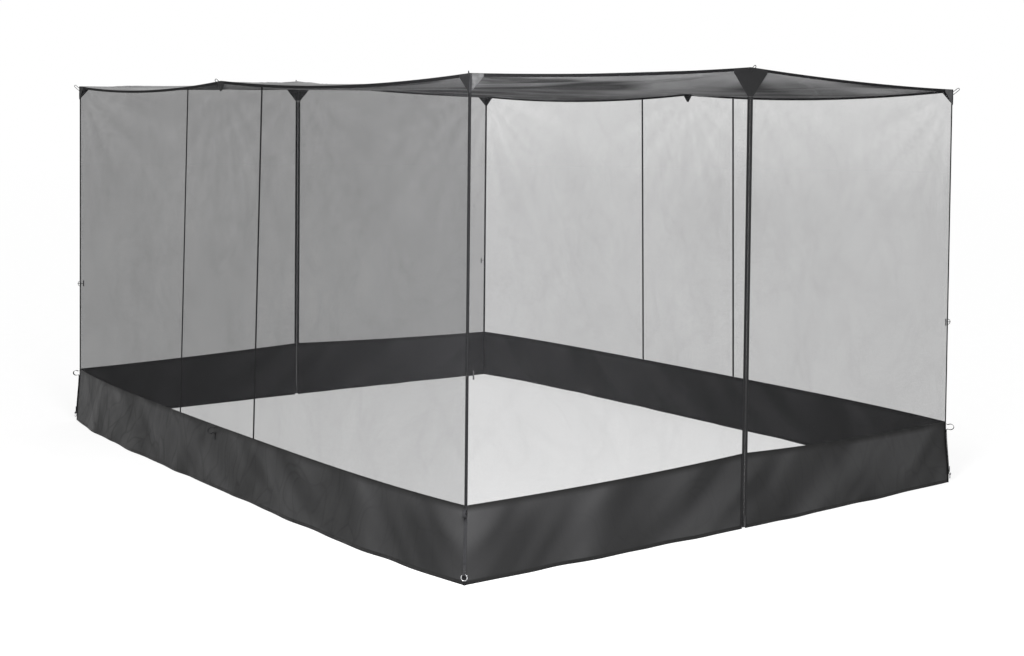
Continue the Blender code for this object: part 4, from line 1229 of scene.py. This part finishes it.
def makeToggle(name, corner):
    # Moulded in one piece: a waisted bar, a stem and an eye round the cord
    edge = cornerPoint(corner, toggle["height"], tapeOffset + room["tape"] / 2)
    turn = Matrix.Rotation(0 if corner["signs"][0] < 0 else math.pi, 4, "Z")
    place = Matrix.Translation(edge + diagonal(corner) * toggle["stand"]) @ turn
    half, radius, waist, eye = toggle["bar"] / 2, toggle["radius"], toggle["waist"], toggle["eye"]
    cap = radius * toggle["endShare"]
    angles = [math.pi * step / 12 for step in range(12)]
    profile = [(radius * 0.02, -half)]
    profile += [(radius * math.sin(angle), -half + cap * (1 - math.cos(angle))) for angle in angles[1:7]]
    profile += [(radius + (waist - radius) * math.sin(angle) ** 1.5, (half - cap) * (2 * angle / math.pi - 1))
                for angle in angles[1:]]
    profile += [(wide, -height) for wide, height in reversed(profile[:7])]
    shape = newShape()
    addLathe(shape, profile, 28, place @ Matrix.Translation((toggle["reach"], 0, 0)))
    reach = toggle["reach"] - eye - waist * 0.4
    stem = [place @ Vector((eye + reach * step / 8, 0, 0)) for step in range(9)]
    sizes = [1 + toggle["stemFlare"] * (abs(step - 4) / 4) ** 3 for step in range(9)]
    addSweep(shape, stem, roundSection(toggle["stem"], 14), sizes=sizes)
    loop = [place @ Vector((x, y, 0)) for x, y in roundSection(eye, 40)]
    addSweep(shape, loop, roundSection(toggle["wire"], 12), side=up, ring=True)
    makePiece(name + "_moulding", shape, [plasticMaterial], stands=name,
              body=name + "_body")


def makeToggleCord(name, corner):
    # A short cord sewn on at both ends, which a toggle's eye runs on
    seat, out = cornerPoint(corner, toggle["height"], tapeOffset), diagonal(corner)
    stand = toggle["cordStand"] + room["tape"] / 2
    path = []
    for turn in (number / 24 for number in range(25)):
        bulge = min(1, math.sin(math.pi * turn) * 1.7) ** 0.8
        path.append(seat + out * (stand * bulge) + up * (toggle["cordHalf"] * (2 * turn - 1)))
    shape = newShape()
    addCord(shape, path)
    makePiece(name, shape, [cordMaterial])


for cornerName, corner in corners.items():
    makeRing(f"{cornerName}_peg_ring", corner)
    makeToggle(f"{cornerName}_toggle", corner)
    makeToggleCord(f"{cornerName}_toggle_cord", corner)
print("rings and toggles made")


# Zips. Each is made for the front, facing -Y, and the rear one is turned half round
zipper = {
    "colour": (0.006, 0.006, 0.0065), "pale": (0.015, 0.015, 0.016), "plane": 1.84, "reach": 0.0155,
    "gap": 0.0020, "low": 0.006, "high": 1.7447, "inner": 0.00055, "outer": 0.00135, "top": 0.00375,
    "rest": 0.046, "wave": 0.00012, "stitchStand": 0.0001, "stitchInside": 0.0008, "stitchOutside": 0.003,
}
coil = {
    "colour": (0.010, 0.010, 0.0105), "pale": (0.030, 0.030, 0.031), "width": 0.0030, "pitch": 0.002,
    "wireShare": 0.72, "lean": 0.0002, "nose": 0.0004, "tail": 0.0006, "mapped": 0.001,
}
slider = {
    "colour": (0.014, 0.014, 0.015), "pale": (0.085, 0.085, 0.088), "length": 0.016, "width": 0.011,
    "neck": 0.0096, "plate": 0.0014, "clear": 0.0004, "flange": 0.0011, "post": 0.0012, "postLength": 0.005,
    "bail": 0.0045, "bailRise": 0.0040, "wire": 0.0009, "bevel": 0.0003, "smallBevel": 0.0001,
    "chamfer": 0.0006, "notch": 0.0007, "slope": 0.0002,
}
pull = {
    "thick": 0.0016, "stand": 0.0016, "length": 0.034, "top": 0.0062, "end": 0.0084, "bar": 0.0008,
    "holeWidth": 0.0034, "holeLength": 0.0050, "bevel": 0.0003, "ridge": 0.00035, "ridgeSink": 0.0001,
    "ridgeReach": 0.62, "ridgeStart": 0.004, "ridgeStep": 0.0028,
}

zipMaterial = makeBandMaterial("zip_tape", zipper, 1300.0, 1300.0, roughness=0.7, specular=0.15)
coilMaterial = makeBandMaterial("zip_coil", coil, 500.0, 0.0, roughness=0.45, specular=0.35)
sliderMaterial = makeSolidMaterial("lacquered_zinc", slider, 0.38, 0.6, 2200.0)


def zipPlace(end, height):
    sign = -1 if end == "front" else 1
    turn = Matrix.Rotation(0 if end == "front" else math.pi, 4, "Z")
    return Matrix.Translation((0, sign * zipper["plane"], height)) @ turn


def makeZipTape(name, end, side):
    # The woven tape, its coil of bent wire turns and the thread that holds it
    turn = zipPlace(end, 0)
    low, long = zipper["low"], zipper["high"] - zipper["low"]
    inner, outer, reach = zipper["gap"] / 2, zipper["outer"], zipper["reach"]
    mid, half = (zipper["inner"] + outer) / 2, (outer - zipper["inner"]) / 2
    columns, rows = 7, 160
    shape = newShape()

    def spot(across, stand, height):
        return turn @ Vector((side * across, -stand, height))

    def acrossAt(column):
        return inner + (reach - inner) * column / columns

    for face in (1, -1):
        def place(column, row):
            wave = zipper["wave"] * math.sin(math.pi * column / columns * 3) if face > 0 else 0
            return spot(acrossAt(column), mid + face * half + wave, low + long * row / rows)
        addGrid(shape, columns, rows, place, lambda column, row: (acrossAt(column), long * row / rows))
    for column in (0, columns):
        def edge(number, row):
            return spot(acrossAt(column), mid - half + 2 * half * number, low + long * row / rows)
        addGrid(shape, 1, rows, edge, lambda number, row: (2 * half * number, long * row / rows))
    # Each turn of the coil goes out to the tape's edge and back, a little slanted
    high, wire, out = zipper["top"] - outer, coil["pitch"] * coil["wireShare"], inner + coil["width"]
    square = ((-0.5, -0.5), (0.5, -0.5), (0.5, 0.5), (-0.5, 0.5))
    rings = ((inner, 0.86, 0.9), (inner + coil["nose"], 1.0, 1.0), (out - coil["tail"], 0.80, 0.85),
             (out, 0.5, 0.7))
    flat = [(0, 0), (coil["mapped"], 0), (coil["mapped"], coil["mapped"]), (0, coil["mapped"])]
    for number in range(int(long / coil["pitch"])):
        level = low + coil["pitch"] * (number + 0.5)
        base = len(shape["points"])
        for where, tall, wide in rings:
            height = level + coil["lean"] * (where - inner) / coil["width"]
            core = outer + high / 2 - high * (1 - tall) / 2
            shape["points"] += [spot(where, core + high * tall * b, height + wire * wide * a)
                                for a, b in square]
        mapped = [(x, level + y) for x, y in flat]
        for foot in (base, base + 4, base + 8):
            for step in range(4):
                after = (step + 1) % 4
                addFace(shape, (foot + step, foot + after, foot + 4 + after, foot + 4 + step), mapped, 1)
        addCap(shape, base, flat, False, 1)
        addCap(shape, base + 12, flat, False, 1)
    for where in (out + zipper["stitchInside"], reach - zipper["stitchOutside"]):
        line = [spot(where, outer + zipper["stitchStand"], low + long * step / 12) for step in range(13)]
        addStitches(shape, line, [turn.to_3x3() @ Vector((0, -1, 0))] * 13, stitches["zip"], 2)
    makePiece(name + "_band", shape, [zipMaterial, coilMaterial, threadMaterial], stands=name)


def roundedBox(shape, low, high, place):
    # low and high are corners in X, depth and Z
    curve = min(high[0] - low[0], high[2] - low[2]) * 0.3
    outline = []
    for x, z, start in ((high[0] - curve, low[2] + curve, -90), (high[0] - curve, high[2] - curve, 0),
                        (low[0] + curve, high[2] - curve, 90), (low[0] + curve, low[2] + curve, 180)):
        outline += arcPoints((x, z), (curve, curve), math.radians(start), math.radians(start + 90), 3)
    addPlate(shape, outline, low[1], high[1], slider["smallBevel"], place)


def bailPath(face, sign, place):
    path = [Vector((0, -face - sign * out, along))
            for along, out in arcPoints((0, 0), (slider["bail"], slider["bailRise"]), 0, math.pi, 24)]
    for foot in (path[0], path[-1]):
        foot.y += sign * slider["plate"] / 2
    return [place @ point for point in path]


def makeSlider(name, end):
    place = zipPlace(end, zipper["rest"])
    half, wide, neck = slider["length"] / 2, slider["width"] / 2, slider["neck"] / 2
    outerLow = zipper["top"] + slider["clear"]
    outerHigh = outerLow + slider["plate"]
    innerHigh = zipper["inner"] - slider["clear"]
    innerLow = innerHigh - slider["plate"]
    shoulder = half - (wide - neck)
    # Wide shoulders at the top and a tapered foot, rounded at every corner
    right = [(neck * 0.8, -half), (neck, -half + slider["chamfer"]), (wide, -shoulder),
             (wide, shoulder * 0.6), (wide * 0.98, shoulder), (neck, half - slider["slope"]),
             (neck * 0.7, half)]
    left = [(-x, z) for x, z in reversed(right)]
    outline = left[-1:] + right + [(0, half - slider["notch"])] + left[:-1]
    shape = newShape()
    for low, high in ((outerLow, outerHigh), (innerLow, innerHigh)):
        addPlate(shape, outline, -high, -low, slider["bevel"], place)
    seat, wall = -outerLow - slider["plate"] / 2, -zipper["outer"] - slider["clear"]
    for sign in (-1, 1):
        low, high = sorted((sign * wide, sign * (wide - slider["flange"])))
        roundedBox(shape, (low, seat, -shoulder), (high, wall, shoulder), place)
    post, foot = slider["post"] / 2, -half + slider["plate"]
    roundedBox(shape, (-post, seat, foot),
               (post, -innerHigh + slider["plate"] / 2, foot + slider["postLength"]), place)
    for face, sign in ((outerHigh, 1), (innerLow, -1)):
        addSweep(shape, bailPath(face, sign, place), roundSection(slider["wire"], 12))
    makePiece(name + "_cast", shape, [sliderMaterial], stands=name, body=name + "_body")


def makePull(name, end, inside):
    stand = slider["clear"] + slider["plate"] + pull["stand"]
    face = zipper["inner"] - stand if inside else zipper["top"] + stand
    place = zipPlace(end, zipper["rest"])
    hole, top, foot, bar = pull["holeWidth"] / 2, pull["top"] / 2, pull["end"] / 2, pull["bar"]
    tip, half = pull["length"] - foot, pull["thick"] / 2
    waist, sill = -pull["holeLength"] - bar * 2, -pull["holeLength"] - bar
    outline = [(-top, bar), (-top, waist), *arcPoints((0, -tip), (foot, foot), math.pi, math.tau, 16),
               (top, waist), (top, bar)]
    window = [(-hole, -bar), (-hole, sill), (hole, sill), (hole, -bar)]
    shape = newShape()
    addPlate(shape, sameCount(outline, 64), -face - half, -face + half, pull["bevel"], place,
             window=sameCount(window, 64))
    # Raised rims for grip near the end
    reach = foot * pull["ridgeReach"]
    for number in range(3):
        level = -tip + pull["ridgeStart"] + number * pull["ridgeStep"]
        for side in (-1, 1):
            stand = -face + side * (half - pull["ridgeSink"])
            ridge = [place @ Vector((reach * share, stand, level)) for share in (-1, -0.5, 0, 0.5, 1)]
            addSweep(shape, ridge, roundSection(pull["ridge"], 8), sizes=(0.4, 1, 1, 1, 0.4))
    makePiece(name + "_tab", shape, [sliderMaterial], stands=name, body=name + "_body")


for end in ("front", "rear"):
    for sideName, side in (("left", -1), ("right", 1)):
        makeZipTape(f"{end}_zip_tape_{sideName}", end, side if end == "front" else -side)
    makeSlider(f"{end}_zip_slider", end)
    makePull(f"{end}_zip_pull_outer", end, False)
    makePull(f"{end}_zip_pull_inner", end, True)
print("zips made")


# Floor and light
studio = {
    "floorSize": 60, "floorDrop": 0.0003, "floorColour": (0.82, 0.82, 0.82, 1), "floorShade": 0.30,
    "floorGlow": 0.815, "fadeStart": 8, "fadeEnd": 50, "worldLight": 0.62,
    "lamps": {
        "key": {"place": (0.5, -7.5, 5.5), "target": (0, 0, 0.6), "size": 4.0, "power": 30.0},
        "near": {"place": (-2.3, -3.3, 1.6), "target": (-1.25, -1.8, 0.15), "size": 1.0, "power": 150.0},
        "fill": {"place": (-7.0, -2.0, 4.5), "target": (0, 0, 0.6), "size": 4.0, "power": 2.0},
    },
}
white = (1, 1, 1, 1)


def seenRays(tree):
    # Rays that show the floor and the world as a white backdrop
    path = addNode(tree, "ShaderNodeLightPath").outputs
    seen = math2(tree, "MAXIMUM", path["Is Camera Ray"], path["Is Glossy Ray"])
    return math2(tree, "MAXIMUM", seen, path["Is Transmission Ray"])


def makeFloor():
    size = studio["floorSize"]
    mesh = bpy.data.meshes.new("studio_floor")
    outline = [(-size, -size, 0), (size, -size, 0), (size, size, 0), (-size, size, 0)]
    mesh.from_pydata(outline, [], [(0, 1, 2, 3)])
    floor = bpy.data.objects.new("studio_floor", mesh)
    floor.location.z = -studio["floorDrop"]
    bpy.context.scene.collection.objects.link(floor)
    material = bpy.data.materials.new("studio_floor")
    material.use_nodes = True
    tree = material.node_tree
    tree.nodes.clear()
    place = addNode(tree, "ShaderNodeTexCoord").outputs["Object"]
    shade = ranged(tree, clouds(tree, place, 9.0, 6.0, Roughness=0.7), 0.3, 0.7, 0.90, 1.0)
    colour = addNode(tree, "ShaderNodeCombineColor", {"Red": shade, "Green": shade, "Blue": shade}).outputs[0]
    thin = vectorMath(tree, "SCALE", {0: colour, "Scale": studio["floorShade"]})
    plain = addNode(tree, "ShaderNodeBsdfDiffuse", {"Color": studio["floorColour"]}).outputs[0]
    bright = addNode(tree, "ShaderNodeBsdfDiffuse", {"Color": thin}).outputs[0]
    glow, backdrop = (addNode(tree, "ShaderNodeEmission", {"Color": white, "Strength": strength}).outputs[0]
                      for strength in (studio["floorGlow"], 1.0))
    both = addNode(tree, "ShaderNodeAddShader", {0: bright, 1: glow}).outputs[0]
    # Far out the floor turns into the backdrop, so no edge shows through the net
    away = addNode(tree, "ShaderNodeVectorMath", {0: place}, operation="LENGTH").outputs["Value"]
    away = ranged(tree, away, studio["fadeStart"], studio["fadeEnd"])
    faded = addNode(tree, "ShaderNodeMixShader", {0: away, 1: both, 2: backdrop}).outputs[0]
    mixed = addNode(tree, "ShaderNodeMixShader", {0: seenRays(tree), 1: plain, 2: faded}).outputs[0]
    addNode(tree, "ShaderNodeOutputMaterial", {"Surface": mixed})
    mesh.materials.append(material)


def makeWorld():
    world = bpy.data.worlds.new("studio")
    world.use_nodes = True
    bpy.context.scene.world = world
    tree = world.node_tree
    tree.nodes.clear()
    strength = ranged(tree, seenRays(tree), 0, 1, studio["worldLight"], 1.0)
    background = addNode(tree, "ShaderNodeBackground", {"Color": white, "Strength": strength})
    addNode(tree, "ShaderNodeOutputWorld", {"Surface": background.outputs[0]})


def makeLamp(name, place, target, size, power):
    data = bpy.data.lights.new(name, "AREA")
    data.shape = "DISK"
    data.size = size
    data.energy = power
    lamp = bpy.data.objects.new(name, data)
    bpy.context.scene.collection.objects.link(lamp)
    lamp.location = place
    lamp.rotation_euler = (Vector(target) - Vector(place)).to_track_quat("-Z", "Y").to_euler()


makeFloor()
makeWorld()
for lampName, values in studio["lamps"].items():
    makeLamp(lampName, **values)
print("floor and light set")
